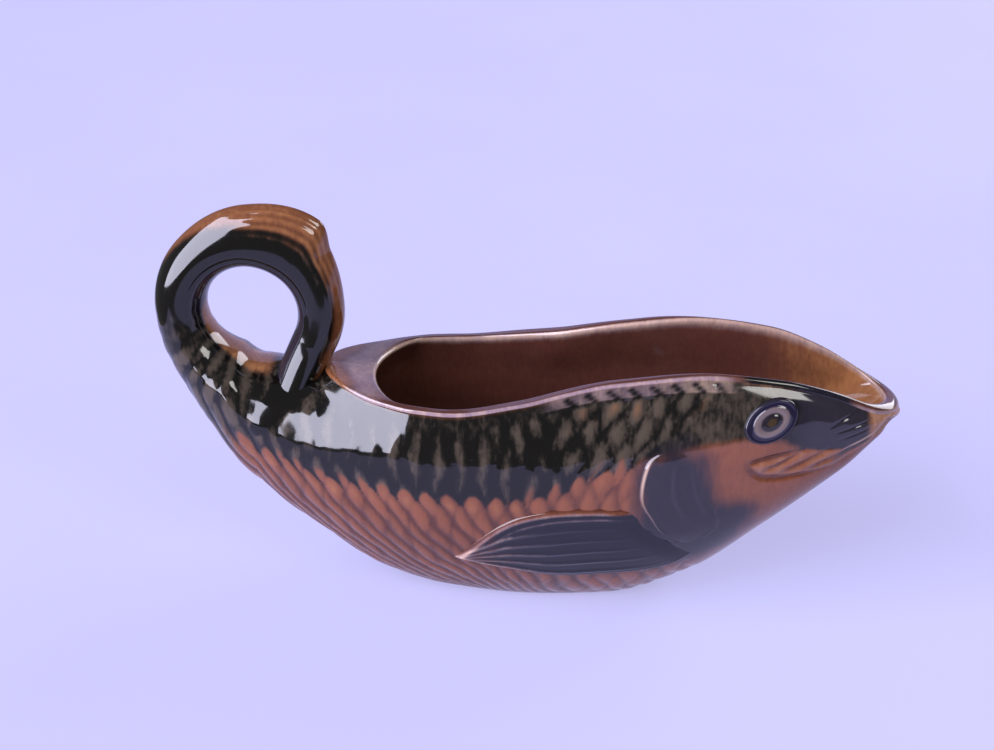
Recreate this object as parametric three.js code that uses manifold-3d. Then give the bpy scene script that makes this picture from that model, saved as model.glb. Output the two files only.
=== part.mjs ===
// A fish-shaped gravy boat in glazed earthenware, in millimetres.
// X runs from the tail to the snout, Z up from the table, and the fish's right flank faces -Y.
import * as THREE from 'three';
import { mergeVertices } from 'three/addons/utils/BufferGeometryUtils.js';
import Module from 'manifold-3d';

const wasm = await Module();
wasm.setup();

// Driving sizes of the boat
const SNOUT_X = 121; // tip of the snout
const LOOP_X = -89.5; // centre of the finger hole
const LOOP_Z = 99;
const HOLE_RADIUS = 15.4; // finger hole
const WALL = 4.2; // hull wall at its widest line
const FLOOR = 5; // floor of the boat, over the table and over the keel
const RIM_WIDTH = 4.2; // top of the wall, from its outer to its inner edge
const RIM_CROWN = 0.8; // height of the rim's middle above its edges
const LIP = 5; // from the snout tip back to the opening
const DECK_RUN = 21.5; // from the hole's centre forward to the back of the deck
const DECK_LENGTH = 18.5; // from the back of the deck to the opening
const BACK_UNDERCUT = 14; // how far the inside reaches under the deck
const SPOUT_SLOPE = 21; // how far the floor stops behind the front of the opening
const FOOT_SINK = 4; // how far the tail's foot runs below the deck before it is cut to fit
const FOOT_FLARE = 6; // how much wider the tail's foot gets, to each side
const SEAT_GAP = 0.3; // seam between two pieces that are luted together

// Stations along the boat that follow from those sizes
const DECK_BACK = LOOP_X + DECK_RUN;
const OPENING_BACK = DECK_BACK + DECK_LENGTH;
const OPENING_FRONT = SNOUT_X - LIP;

// Cross sections of the hull, from the snout to the tail root: heights of the keel, the widest line and the
// top edge, the half beam, and the lean of the flank at its top edge in degrees
const HULL = [
  { x: SNOUT_X, keel: 71.5, wide: 73, edge: 74, beam: 3.5, lean: 60 },
  { x: SNOUT_X - 3.5, keel: 67, wide: 71, edge: 75, beam: 9.8, lean: 65 },
  { x: SNOUT_X - 11, keel: 59, wide: 67.5, edge: 78.2, beam: 15.8, lean: 70 },
  { x: SNOUT_X - 23, keel: 46.5, wide: 63, edge: 84, beam: 20.6, lean: 74 },
  { x: SNOUT_X - 41, keel: 29, wide: 58, edge: 89.2, beam: 26, lean: 76 },
  { x: SNOUT_X - 63, keel: 9, wide: 53, edge: 91, beam: 29.7, lean: 74 },
  { x: 30, keel: -3.5, wide: 49.5, edge: 87.6, beam: 32, lean: 70 },
  { x: 0, keel: -5.5, wide: 48, edge: 80.7, beam: 33.2, lean: 72 },
  { x: DECK_BACK + 43, keel: -3.5, wide: 49, edge: 77.3, beam: 32.6, lean: 74 },
  { x: DECK_BACK + 20, keel: 2.5, wide: 52.5, edge: 77.6, beam: 28.8, lean: 62 },
  { x: DECK_BACK, keel: 16, wide: 56, edge: 80, beam: 24, lean: 25 },
  { x: LOOP_X, keel: 34, wide: 65, edge: 81, beam: 18.5, lean: 0 },
];

// Cross sections of the tail, by degrees turned round the finger hole from straight below it: depth from the
// hole's wall to the outer edge, depth to the widest line, half beam, and how full the outer edge is
const TAIL = [
  { turn: 22, depth: 30, wide: 11.5, beam: 15.5, full: 1 },
  { turn: 50, depth: 20, wide: 9.4, beam: 12, full: 1 },
  { turn: 90, depth: 16.8, wide: 8.2, beam: 10, full: 1 },
  { turn: 135, depth: 17.2, wide: 8.2, beam: 8.8, full: 0.85 },
  { turn: 180, depth: 20.6, wide: 8.4, beam: 8, full: 0.6 },
  { turn: 217, depth: 24.2, wide: 8.6, beam: 7.2, full: 0.45 },
  { turn: 232, depth: 18.9, wide: 8.2, beam: 7.2, full: 0.55 },
  { turn: 266, depth: 15, wide: 7.8, beam: 7.8, full: 0.85 },
  { turn: 295, depth: 14.6, wide: 7.6, beam: 9, full: 1 },
];

// Half width of the top edge seen from above
const EDGE_PLAN = [
  [DECK_BACK, 0],
  [DECK_BACK + 2, 6],
  [DECK_BACK + 5, 10.5],
  [DECK_BACK + 12, 17],
  [DECK_BACK + 22, 23.2],
  [DECK_BACK + 34, 27.6],
  [DECK_BACK + 48, 29],
  [0, 26.7],
  [14, 24],
  [28, 22.9],
  [SNOUT_X - 59, 22.7],
  [SNOUT_X - 41, 21.8],
  [SNOUT_X - 23, 18.7],
  [SNOUT_X - 8, 14.4],
  [SNOUT_X - 1, 12],
];
const SNOUT_ROUND = 11; // length over which the top edge closes at the snout
const OPENING_ROUND_BACK = 12; // length over which the opening closes, at its back
const OPENING_ROUND_FRONT = 10; // and at its front

// Reliefs on the flanks, as points behind the snout tip and above the widest line
const EYE = { behind: 43.2, up: 21.6, length: 16.5, height: 14 };
const EYE_RINGS = [
  { reach: 1, lift: 0.4 },
  { reach: 0.9, lift: 1.5 },
  { reach: 0.76, lift: 1.5 },
  { reach: 0.68, lift: 0.9 },
  { reach: 0.46, lift: 1.5 },
  { reach: 0.38, lift: 1 },
  { reach: 0.2, lift: 1.9 },
];
const GILL_REAR = [
  [70, 18.5],
  [78.4, 17.4],
  [82, 12.8],
  [82.9, 2.1],
  [79.4, -6],
  [75.2, -12.7],
  [65, -20.5],
];
const GILL_FRONT = [
  [68, 18.2],
  [64, 14],
  [62, 7.5],
  [60, 1.5],
  [57, -5.6],
  [56, -13.5],
  [63.5, -20.2],
];
const GILL_LIFT = [
  { across: 0, lift: 0.8 },
  { across: 0.14, lift: 2.2 },
  { across: 0.34, lift: 1.5 },
  { across: 0.62, lift: 1.1 },
  { across: 1, lift: 0.3 },
];
const FIN_UPPER = [
  [84.3, -2.7],
  [98, -1.2],
  [114, -2],
  [127, -8],
  [142, -24.5],
];
const FIN_LOWER = [
  [62.5, -25],
  [73, -29],
  [90, -30],
  [108, -30.5],
  [124, -27.5],
  [142, -24.5],
];
const FIN_ROOT_BEND = 2.6; // how far the root bends back to follow the gill cover's edge
const FIN_RAYS = 6;
const FIN_LIFT = 2.4; // height of the fin over the flank at its root
const FIN_TIP_LIFT = 1.2;
const FIN_EDGE_LIFT = 0.8;
const RAY_DEPTH = 0.6; // hollow between two fin rays
const MOUTH = [
  [48.7, 7.7],
  [41, 8],
  [30, 7],
  [21, 3],
  [15, -2],
  [12, -4.6],
  [10.4, -6],
];
const MOUTH_WIDTH = 3;
const MOUTH_DEPTH = 1.2;
const MOUTH_FLAT = 0.7; // share of the groove's width that is its floor
const MOUTH_END = 0.3; // share of its size that is left at its ends

// Scales on the flanks and rays on the tail fin
const SCALE_WIDTH = 7.3;
const SCALE_DEPTH = 0.9; // grooves between the scales
const SCALES_LENGTH = 123; // scales from the back of the deck forward
const SCALES_LOW = 0.3; // where on the half section the scales start, over the base
const SCALES_HIGH = 1.92; // and where they end, under the rim
const SCALES_FADE = 0.25; // length over which they come up, as a share of the half section
const SCALES_RUN_OUT = 9; // and along the boat
const SCALES_LAST_TURN = 60; // degrees round the finger hole where the scales run out on the tail
const TAIL_RAY_DEPTH = 0.7; // grooves between the tail's rays
const TAIL_RAYS_FROM = 130; // degrees round the finger hole

// How finely the surfaces are divided
const ROOT_ROWS = 6; // hull rows between the tail root and the deck
const HEAD_ROWS = 18; // hull rows in front of the scales
const LOW_STEPS = 10; // from the keel up to the widest line
const HIGH_STEPS = 6; // from the widest line up to the top edge
const CAVITY_STEPS = 6; // from the rim to the widest line inside, and on to the floor
const TAIL_ROWS = 46;
const TAIL_STEPS = 6; // from the outer edge to the widest line, and on to the finger hole
const FOOT_ROWS = 4;
const EYE_SIDES = 20;
const RELIEF_ROWS = 16;

const ARC = 0.5523; // handle length of a cubic curve that draws a quarter circle
const PATH_RADIUS = 26; // turns degrees round the finger hole into a length along the tail
const TABLE_WIDTH = 4 * SNOUT_X; // block that cuts the base flat
const TABLE_DEPTH = SNOUT_X;
const MERGE = 1e-4; // points closer than this are one
const HALVINGS = 40; // halvings of the search for a height on the flank
const NUDGE = 0.01; // small step that finds a surface's slope
const FLOOR_BLEND = 1.5; // softens the line where the floor leaves the level base
const OPENING_EASE = 0.1; // share of the opening's rows that lie closer together at its back

const mix = THREE.MathUtils.lerp;
const steps = (count, make) => Array.from({ length: count + 1 }, (_, i) => make(i / count, i));

// Smooth curve through points of rising x that never overshoots them, held level past its ends
function curve(points) {
  const sorted = [...points].sort((a, b) => a[0] - b[0]);
  const last = sorted.length - 1;
  const run = (i) => sorted[i + 1][0] - sorted[i][0];
  const rise = (i) => (sorted[i + 1][1] - sorted[i][1]) / run(i);
  const slopes = sorted.map((_, i) => {
    if (i === 0) return rise(0);
    if (i === last) return rise(last - 1);
    const [before, after] = [rise(i - 1), rise(i)];
    if (before * after <= 0) return 0;
    const weight = (2 * run(i) + run(i - 1)) / (3 * (run(i) + run(i - 1)));
    return (before * after) / (weight * after + (1 - weight) * before);
  });
  return (x) => {
    if (x <= sorted[0][0]) return sorted[0][1];
    if (x >= sorted[last][0]) return sorted[last][1];
    const i = sorted.findIndex((point) => point[0] > x) - 1;
    const t = (x - sorted[i][0]) / run(i);
    const bend = slopes[i] * run(i) * (t - 2 * t * t + t ** 3) + slopes[i + 1] * run(i) * (t ** 3 - t * t);
    return mix(sorted[i][1], sorted[i + 1][1], 3 * t * t - 2 * t ** 3) + bend;
  };
}

// 0 at an end, rising along a quarter ellipse to 1 at the given length from it
function roundEnd(distance, length) {
  const t = THREE.MathUtils.clamp(distance / length, 0, 1);
  return Math.sqrt(t * (2 - t));
}

// The hull and the tail share one path: its length is x from the finger hole's centre along the hull, and
// negative round the hole along the tail. Every section is measured down from the hole's centre.
const turnLength = (turn) => -THREE.MathUtils.degToRad(turn) * PATH_RADIUS;
const STATIONS = [
  ...HULL.map((s) => ({
    path: s.x - LOOP_X,
    outer: LOOP_Z - s.keel,
    wide: LOOP_Z - s.wide,
    inner: LOOP_Z - s.edge,
    beam: s.beam,
    lean: s.lean,
    full: 1,
  })),
  ...TAIL.map((s) => ({
    path: turnLength(s.turn),
    outer: HOLE_RADIUS + s.depth,
    wide: HOLE_RADIUS + s.wide,
    inner: HOLE_RADIUS,
    beam: s.beam,
    lean: 0,
    full: s.full,
  })),
];
const along = (key) => curve(STATIONS.map((s) => [s.path, s[key]]));
const section = {
  outer: along('outer'),
  wide: along('wide'),
  inner: along('inner'),
  beam: along('beam'),
  lean: along('lean'),
  full: along('full'),
};
const edgePlan = curve(EDGE_PLAN);
const wideHeight = (x) => LOOP_Z - section.wide(x - LOOP_X);
const edgeHeight = (x) => LOOP_Z - section.inner(x - LOOP_X);
const keelHeight = (x) => LOOP_Z - section.outer(x - LOOP_X);
const beamAt = (x) => section.beam(x - LOOP_X);
const LAST_TURN = TAIL[TAIL.length - 1].turn;

// Half width of the top edge, and of the opening inside it
function edgeHalf(x) {
  return edgePlan(x) * roundEnd(SNOUT_X - x, SNOUT_ROUND);
}
function openingEnds(x) {
  const back = roundEnd(x - OPENING_BACK, OPENING_ROUND_BACK);
  return back * roundEnd(OPENING_FRONT - x, OPENING_ROUND_FRONT);
}
const openingHalf = (x) => (edgePlan(x) - RIM_WIDTH) * openingEnds(x);

function cubic(from, leave, arrive, to, t) {
  const u = 1 - t;
  const at = (k) => u ** 3 * from[k] + 3 * u * u * t * leave[k] + 3 * u * t * t * arrive[k] + t ** 3 * to[k];
  return [at(0), at(1)];
}

// Half section as (half width, depth below the hole's centre): share 0 is the keel or the tail's outer edge,
// 1 the widest line, 2 the top edge or the hole's wall. Growing it gives the room that another piece needs.
function halfSection(path, share, grow = 0) {
  const outer = section.outer(path) + grow;
  const wide = section.wide(path);
  const inner = section.inner(path) - grow;
  const beam = section.beam(path) + grow;
  const edge = path > 0 ? edgeHalf(LOOP_X + path) : 0;
  if (share <= 1) {
    const leave = [beam * ARC * section.full(path), outer];
    return cubic([0, outer], leave, [beam, wide + (outer - wide) * ARC], [beam, wide], share);
  }
  const lean = THREE.MathUtils.degToRad(section.lean(path));
  const reach = ARC * ((beam - edge) * Math.cos(lean) + (wide - inner) * Math.sin(lean));
  const arrive = [edge + reach * Math.cos(lean), inner + reach * Math.sin(lean)];
  return cubic([beam, wide], [beam, wide - (wide - inner) * ARC], arrive, [edge, inner], share - 1);
}

// Places a half section's point in space, on the right flank
function place(path, [half, depth]) {
  if (path >= 0) return new THREE.Vector3(LOOP_X + path, -half, LOOP_Z - depth);
  const turn = -path / PATH_RADIUS;
  return new THREE.Vector3(LOOP_X - depth * Math.sin(turn), -half, LOOP_Z - depth * Math.cos(turn));
}
const skinPoint = (path, share) => place(path, halfSection(path, share));
const shares = (low, high) => [...steps(low, (t) => t), ...steps(high, (t) => 1 + t).slice(1)];
const hullRow = (path, grow) =>
  shares(LOW_STEPS, HIGH_STEPS).map((share) => place(path, halfSection(path, share, grow)));

// Direction straight out of the right flank
function outward(path, share) {
  const forward = skinPoint(path + NUDGE, share).sub(skinPoint(path - NUDGE, share));
  const upward = skinPoint(path, share + NUDGE).sub(skinPoint(path, share - NUDGE));
  return forward.cross(upward).normalize();
}

// How far the grooves between scales are cut, from 0 to 1, and those between the tail's rays
const ramp = (distance, length) => THREE.MathUtils.smoothstep(distance, 0, length);
function scaleFade(path, share) {
  const across = ramp(share - SCALES_LOW, SCALES_FADE) * ramp(SCALES_HIGH - share, SCALES_FADE);
  const front = ramp(DECK_RUN + SCALES_LENGTH - path, SCALES_RUN_OUT);
  const tail = ramp(path - turnLength(SCALES_LAST_TURN), SCALES_RUN_OUT);
  return across * front * tail * ramp(Math.abs(path), SCALES_RUN_OUT / 3);
}
function rayFade(path, share) {
  return share < 1 ? ramp(turnLength(TAIL_RAYS_FROM) - path, SCALES_RUN_OUT) : 0;
}

// Row of the skin in which every other point is sunk. From row to row the sunk points alternate, so the
// points between them stand as scales, in staggered rows; on the tail fin the same points make the rays.
function carvedRow(path, row, allShares) {
  return allShares.map((share, step) => {
    const scale = (row + step) % 2 ? SCALE_DEPTH * scaleFade(path, share) : 0;
    const ray = step % 2 ? TAIL_RAY_DEPTH * rayFade(path, share) : 0;
    return skinPoint(path, share).addScaledVector(outward(path, share), -scale - ray);
  });
}
const scaledRow = (path, row) => carvedRow(path, row, shares(LOW_STEPS, HIGH_STEPS));
const tailRow = (path, row) => carvedRow(path, row, shares(TAIL_STEPS, TAIL_STEPS));

// Solid of a closed geometry, with its shared points merged and its faces turned outward
function solidOf(geometry) {
  const bare = geometry.clone();
  bare.deleteAttribute('normal');
  bare.deleteAttribute('uv');
  const merged = mergeVertices(bare, MERGE);
  const points = merged.attributes.position;
  const index = merged.index.array;
  const corner = (i) => new THREE.Vector3().fromBufferAttribute(points, index[i]);
  const kept = [];
  let volume = 0;
  for (let i = 0; i < index.length; i += 3) {
    const [a, b, c] = [index[i], index[i + 1], index[i + 2]];
    if (a === b || b === c || c === a) continue;
    kept.push([a, b, c]);
    volume += corner(i).dot(corner(i + 1).cross(corner(i + 2)));
  }
  const triVerts = new Uint32Array(kept.flatMap((t) => (volume < 0 ? [t[0], t[2], t[1]] : t)));
  return new wasm.Manifold(new wasm.Mesh({ numProp: 3, vertProperties: points.array, triVerts }));
}

// Geometry of a solid, for a mesh
function geometryOf(solid) {
  const { vertProperties, triVerts } = solid.getMesh();
  const geometry = new THREE.BufferGeometry();
  geometry.setAttribute('position', new THREE.BufferAttribute(vertProperties, 3));
  geometry.setIndex(new THREE.BufferAttribute(triVerts, 1));
  geometry.computeVertexNormals();
  return geometry;
}
const mirrorSolid = (solid) => solidOf(geometryOf(solid).scale(1, -1, 1));

// A surface that collects rows of points into triangles
class Surface {
  triangles = [];

  // Rows of the right flank, and their mirror image on the left. The quads are halved along the grooves,
  // which join the points whose row and step add up to an odd number.
  addBothSides(rows) {
    for (let i = 0; i + 1 < rows.length; i++) {
      for (let j = 0; j + 1 < rows[i].length; j++) {
        const corners = [rows[i][j], rows[i + 1][j], rows[i + 1][j + 1], rows[i][j + 1]];
        if ((i + j) % 2 === 0) corners.push(corners.shift());
        const [a, b, c, d] = corners.map(mirrored);
        this.addQuad(corners);
        this.addQuad([a, d, c, b]);
      }
    }
  }

  addQuad([a, b, c, d]) {
    this.triangles.push([a, b, c], [a, c, d]);
  }

  // Flat end across a row of the right flank and its mirror image, facing along the given direction
  addEnd(row, facing) {
    const ring = [...row, ...row.slice(1, -1).map(mirrored).reverse()];
    const middle = row[0].clone().lerp(row[row.length - 1], 0.5);
    const across = ring[1].clone().sub(middle);
    const turned = ring[0].clone().sub(middle).cross(across).dot(facing) > 0;
    const order = turned ? ring : [...ring].reverse();
    order.forEach((point, i) => this.triangles.push([middle, point, order[(i + 1) % order.length]]));
  }

  solid() {
    const geometry = new THREE.BufferGeometry().setFromPoints(this.triangles.flat());
    return solidOf(geometry);
  }
}

const mirrored = (point) => new THREE.Vector3(point.x, -point.y, point.z);

// Rows of the hull: half a scale apart as far as the scales go, then closer and closer towards the snout
const ROOT_PATH = SEAT_GAP;
const SCALES_END = DECK_RUN + SCALES_LENGTH;
const SNOUT_PATH = SNOUT_X - LOOP_X;
const scaleRows = Math.round((2 * SCALES_LENGTH) / SCALE_WIDTH);
const hullPaths = [
  ...steps(ROOT_ROWS, (t) => mix(ROOT_PATH, DECK_RUN, t)).slice(0, -1),
  ...steps(scaleRows, (t) => mix(DECK_RUN, SCALES_END, t)),
  ...steps(HEAD_ROWS, (t) => mix(SCALES_END, SNOUT_PATH, Math.sin((Math.PI / 2) * t))).slice(1),
];

// Station of the opening, from 0 to 1, for a row of the hull
function openStation(path) {
  const share = (path - DECK_RUN) / (SNOUT_PATH - DECK_RUN);
  const eased = share < OPENING_EASE ? share ** 2 / (2 * OPENING_EASE) : share - OPENING_EASE / 2;
  return eased / (1 - OPENING_EASE / 2);
}
const BACKWARD = new THREE.Vector3(-1, 0, 0);
const FORWARD = new THREE.Vector3(1, 0, 0);

// The hull without its inside, closed by a lid from edge to edge
function closedHull(grow) {
  const surface = new Surface();
  const rows = hullPaths.map((path) => {
    const row = hullRow(path, grow);
    const top = row[row.length - 1];
    return [...row, new THREE.Vector3(top.x, 0, top.z)];
  });
  surface.addBothSides(rows);
  surface.addEnd(rows[0].slice(0, -1), BACKWARD);
  surface.addEnd(rows[rows.length - 1].slice(0, -1), FORWARD);
  return surface.solid();
}

// Floor of the inside, level over the flat base and a floor's thickness over the keel beyond it
function floorHeight(x) {
  const keel = keelHeight(x);
  return FLOOR + (keel + Math.hypot(keel, 2 * FLOOR_BLEND)) / 2;
}

// Half section of the inside from the rim's inner edge to the floor, leaning forward and back at its ends
function cavityRow(station) {
  const rimX = mix(OPENING_BACK, OPENING_FRONT, station);
  const wideX = mix(OPENING_BACK - BACK_UNDERCUT, OPENING_FRONT - SPOUT_SLOPE / 2, station);
  const floorX = mix(OPENING_BACK - BACK_UNDERCUT / 3, OPENING_FRONT - SPOUT_SLOPE, station);
  const ends = openingEnds(rimX);
  const beam = (beamAt(wideX) - WALL) * ends;
  const rim = [openingHalf(rimX), edgeHeight(rimX)];
  const wide = [beam, wideHeight(wideX)];
  const floor = [0, floorHeight(floorX)];
  const lean = THREE.MathUtils.degToRad(section.lean(rimX - LOOP_X));
  const rise = rim[1] - wide[1];
  const reach = ARC * rise;
  const leave = [rim[0] + reach * Math.cos(lean) * ends, rim[1] - reach * Math.sin(lean)];
  const upper = (t) => cubic(rim, leave, [beam, wide[1] + rise * ARC], wide, t);
  const lower = (t) => cubic(wide, [beam, mix(wide[1], floor[1], ARC)], [beam * ARC, floor[1]], floor, t);
  return shares(CAVITY_STEPS, CAVITY_STEPS).map((share) => {
    const [half, z] = share <= 1 ? upper(share) : lower(share - 1);
    const [low, high, lowX, highX] = share <= 1 ? [wide, rim, wideX, rimX] : [floor, wide, floorX, wideX];
    return new THREE.Vector3(mix(lowX, highX, (z - low[1]) / (high[1] - low[1])), -half, z);
  });
}

// Body of the boat: the scaled skin from the keel up to the edge, then over the rim and down to the floor
function bodyShell() {
  const surface = new Surface();
  const skin = hullPaths.map(scaledRow);
  surface.addBothSides(skin);
  const rimAndInside = hullPaths.slice(ROOT_ROWS).map((path) => {
    const edge = skinPoint(path, 2);
    const inside = cavityRow(openStation(path));
    const crown = edge.clone().lerp(inside[0], 0.5);
    crown.z += RIM_CROWN;
    return [edge, crown, ...inside];
  });
  surface.addBothSides(rimAndInside);
  surface.addEnd(skin[0], BACKWARD);
  surface.addEnd(skin[skin.length - 1], FORWARD);
  const mouth = mouthGroove();
  const table = new THREE.BoxGeometry(TABLE_WIDTH, TABLE_WIDTH, TABLE_DEPTH);
  table.translate(0, 0, -TABLE_DEPTH / 2);
  return surface.solid().subtract(mouth).subtract(mirrorSolid(mouth)).subtract(solidOf(table));
}

// Tail: from its foot on the deck, round the finger hole and down to the hull
function tailHandle() {
  const turn = THREE.MathUtils.degToRad(LAST_TURN);
  const lastPath = turnLength(LAST_TURN);
  const down = new THREE.Vector3(-Math.cos(turn), 0, Math.sin(turn));
  const holeWall = LOOP_Z - HOLE_RADIUS * Math.cos(turn);
  const footRun = (holeWall - edgeHeight(DECK_BACK) + FOOT_SINK) / -down.z;
  const footRow = (share) => {
    const flare = new THREE.Vector3(1, 1 + (FOOT_FLARE / section.beam(lastPath)) * share * share, 1);
    return tailRow(lastPath, 0).map((point) => point.multiply(flare).addScaledVector(down, footRun * share));
  };
  const rows = [
    ...Array.from({ length: FOOT_ROWS }, (_, i) => footRow(1 - i / FOOT_ROWS)),
    ...steps(TAIL_ROWS, (t, i) => tailRow(mix(lastPath, 0, t), i)),
  ];
  const surface = new Surface();
  surface.addBothSides(rows);
  surface.addEnd(rows[0], down);
  surface.addEnd(rows[rows.length - 1], FORWARD);
  return surface.solid().subtract(closedHull(SEAT_GAP));
}

// Point of the right flank, given behind the snout tip and above the widest line, raised along its normal
function flankPoint(behind, up, raise) {
  const path = SNOUT_X - behind - LOOP_X;
  const depth = section.wide(path) - up;
  let low = 0;
  let high = 2;
  for (let i = 0; i < HALVINGS; i++) {
    const share = (low + high) / 2;
    if (halfSection(path, share)[1] > depth) low = share;
    else high = share;
  }
  return skinPoint(path, low).addScaledVector(outward(path, low), raise);
}

// Solid that follows the right flank: each point gives its place and the heights of its face and its back.
// Rows that go round a middle need no ends.
function relief(rows, round = false) {
  const surface = new Surface();
  const face = rows.map((row) => row.map((point) => flankPoint(point.behind, point.up, point.lift)));
  const back = rows.map((row) => row.map((point) => flankPoint(point.behind, point.up, point.seat)));
  const last = rows.length - 1;
  const end = rows[0].length - 1;
  for (let i = 0; i < last; i++) {
    for (let j = 0; j < end; j++) {
      surface.addQuad([face[i][j], face[i + 1][j], face[i + 1][j + 1], face[i][j + 1]]);
      surface.addQuad([back[i][j], back[i][j + 1], back[i + 1][j + 1], back[i + 1][j]]);
    }
    surface.addQuad([face[i][0], back[i][0], back[i + 1][0], face[i + 1][0]]);
    surface.addQuad([face[i + 1][end], back[i + 1][end], back[i][end], face[i][end]]);
  }
  if (round) return surface.solid();
  for (let j = 0; j < end; j++) {
    surface.addQuad([face[0][j], face[0][j + 1], back[0][j + 1], back[0][j]]);
    surface.addQuad([back[last][j], back[last][j + 1], face[last][j + 1], face[last][j]]);
  }
  return surface.solid();
}

const spline = (points) => new THREE.SplineCurve(points.map(([behind, up]) => new THREE.Vector2(behind, up)));

// Cutter for the groove between the lips, shallow and narrow at its ends
function mouthGroove() {
  const line = spline(MOUTH);
  const rows = steps(RELIEF_ROWS, (t) => {
    const middle = line.getPoint(t);
    const tangent = line.getTangent(t);
    const size = mix(MOUTH_END, 1, Math.sin(Math.PI * t));
    return [-1, -MOUTH_FLAT, MOUTH_FLAT, 1].map((side) => ({
      behind: middle.x - (tangent.y * side * size * MOUTH_WIDTH) / 2,
      up: middle.y + (tangent.x * side * size * MOUTH_WIDTH) / 2,
      seat: Math.abs(side) < 1 ? -MOUTH_DEPTH * size : MOUTH_DEPTH,
      lift: 2 * MOUTH_DEPTH,
    }));
  });
  return relief(rows);
}

// Eye: rings that step up to the pupil
function eye() {
  const rows = steps(EYE_SIDES, (t) =>
    [...EYE_RINGS, { reach: 0, lift: EYE_RINGS[EYE_RINGS.length - 1].lift }].map((ring) => ({
      behind: EYE.behind + (Math.cos(2 * Math.PI * t) * ring.reach * EYE.length) / 2,
      up: EYE.up + (Math.sin(2 * Math.PI * t) * ring.reach * EYE.height) / 2,
      seat: SEAT_GAP,
      lift: SEAT_GAP + ring.lift,
    })),
  );
  return relief(rows, true);
}

// Gill cover: a crescent with its ridge along the rear edge, running out into the cheek
function gillCover() {
  const rear = spline(GILL_REAR);
  const front = spline(GILL_FRONT);
  const rows = steps(RELIEF_ROWS, (t) =>
    GILL_LIFT.map(({ across, lift }) => {
      const point = rear.getPoint(t).lerp(front.getPoint(t), across);
      return { behind: point.x, up: point.y, seat: SEAT_GAP, lift: SEAT_GAP + lift };
    }),
  );
  return relief(rows);
}

// Pectoral fin: rays from the root behind the gill cover to the pointed tip
function pectoralFin() {
  const upper = spline(FIN_UPPER);
  const lower = spline(FIN_LOWER);
  const columns = 2 * FIN_RAYS;
  const rows = steps(RELIEF_ROWS, (t) =>
    steps(columns, (across, j) => {
      const point = upper.getPoint(t).lerp(lower.getPoint(t), across);
      const bend = Math.sin(Math.PI * across) * (1 - t) ** 2;
      const rib = j % 2 ? FIN_LIFT : FIN_LIFT - RAY_DEPTH;
      return {
        behind: point.x + FIN_ROOT_BEND * bend,
        up: point.y,
        seat: SEAT_GAP,
        lift: SEAT_GAP + mix(j === 0 || j === columns ? FIN_EDGE_LIFT : rib, FIN_TIP_LIFT, t),
      };
    }),
  );
  return relief(rows);
}

// The pieces, in the colours of their glaze
const boat = new THREE.Group();
function addPiece(name, geometry, color, side = 1) {
  const material = new THREE.MeshStandardMaterial({ color, roughness: 0.15, metalness: 0 });
  const mesh = new THREE.Mesh(geometry, material);
  mesh.name = name;
  mesh.scale.y = side;
  boat.add(mesh);
}
function addPair(name, solid, color) {
  addPiece(`right_${name}`, geometryOf(solid), color);
  addPiece(`left_${name}`, geometryOf(solid), color, -1);
}

addPiece('body_shell', geometryOf(bodyShell()), 0x6b4a33);
addPiece('tail_handle', geometryOf(tailHandle()), 0x3a2f22);
addPair('gill_cover', gillCover(), 0x4a4d5c);
addPair('pectoral_fin', pectoralFin(), 0x45465a);
addPair('eye', eye(), 0xa08474);

export default boat;
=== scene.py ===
"""Fish-shaped gravy boat in glazed earthenware: its carved skin, its glazes and a plain studio around it."""
import math

import bmesh
import bpy
import numpy as np
from mathutils import Matrix, Vector


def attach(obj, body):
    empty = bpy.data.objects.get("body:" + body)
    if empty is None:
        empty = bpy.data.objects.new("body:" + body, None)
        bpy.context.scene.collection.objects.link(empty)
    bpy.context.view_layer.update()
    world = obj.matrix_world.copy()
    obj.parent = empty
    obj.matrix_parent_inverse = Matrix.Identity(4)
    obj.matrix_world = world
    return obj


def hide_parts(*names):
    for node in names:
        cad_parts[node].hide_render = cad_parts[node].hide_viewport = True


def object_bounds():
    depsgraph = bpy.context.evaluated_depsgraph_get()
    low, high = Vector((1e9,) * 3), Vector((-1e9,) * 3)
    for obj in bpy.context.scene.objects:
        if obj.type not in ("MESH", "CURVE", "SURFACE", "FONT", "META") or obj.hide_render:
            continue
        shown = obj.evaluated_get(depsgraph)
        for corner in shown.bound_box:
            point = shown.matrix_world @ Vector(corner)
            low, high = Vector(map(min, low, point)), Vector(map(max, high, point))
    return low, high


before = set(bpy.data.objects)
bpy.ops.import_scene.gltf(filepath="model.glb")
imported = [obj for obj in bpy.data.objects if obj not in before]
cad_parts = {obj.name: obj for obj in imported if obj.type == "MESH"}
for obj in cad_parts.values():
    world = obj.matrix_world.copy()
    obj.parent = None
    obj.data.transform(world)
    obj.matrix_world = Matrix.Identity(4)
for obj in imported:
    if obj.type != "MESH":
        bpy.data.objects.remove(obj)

bl_info = {
    "name": "Fish Gravy Boat",
    "version": (1, 0, 0),
    "blender": (4, 5, 0),
    "location": "View3D > Sidebar > Gravy Boat",
    "description": "Builds a glazed fish-shaped gravy boat with carved scales around its packed frame",
    "category": "Add Mesh",
}

CAD_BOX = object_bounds()
MM = 0.001
PHOTO_WIDTH = 994

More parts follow.
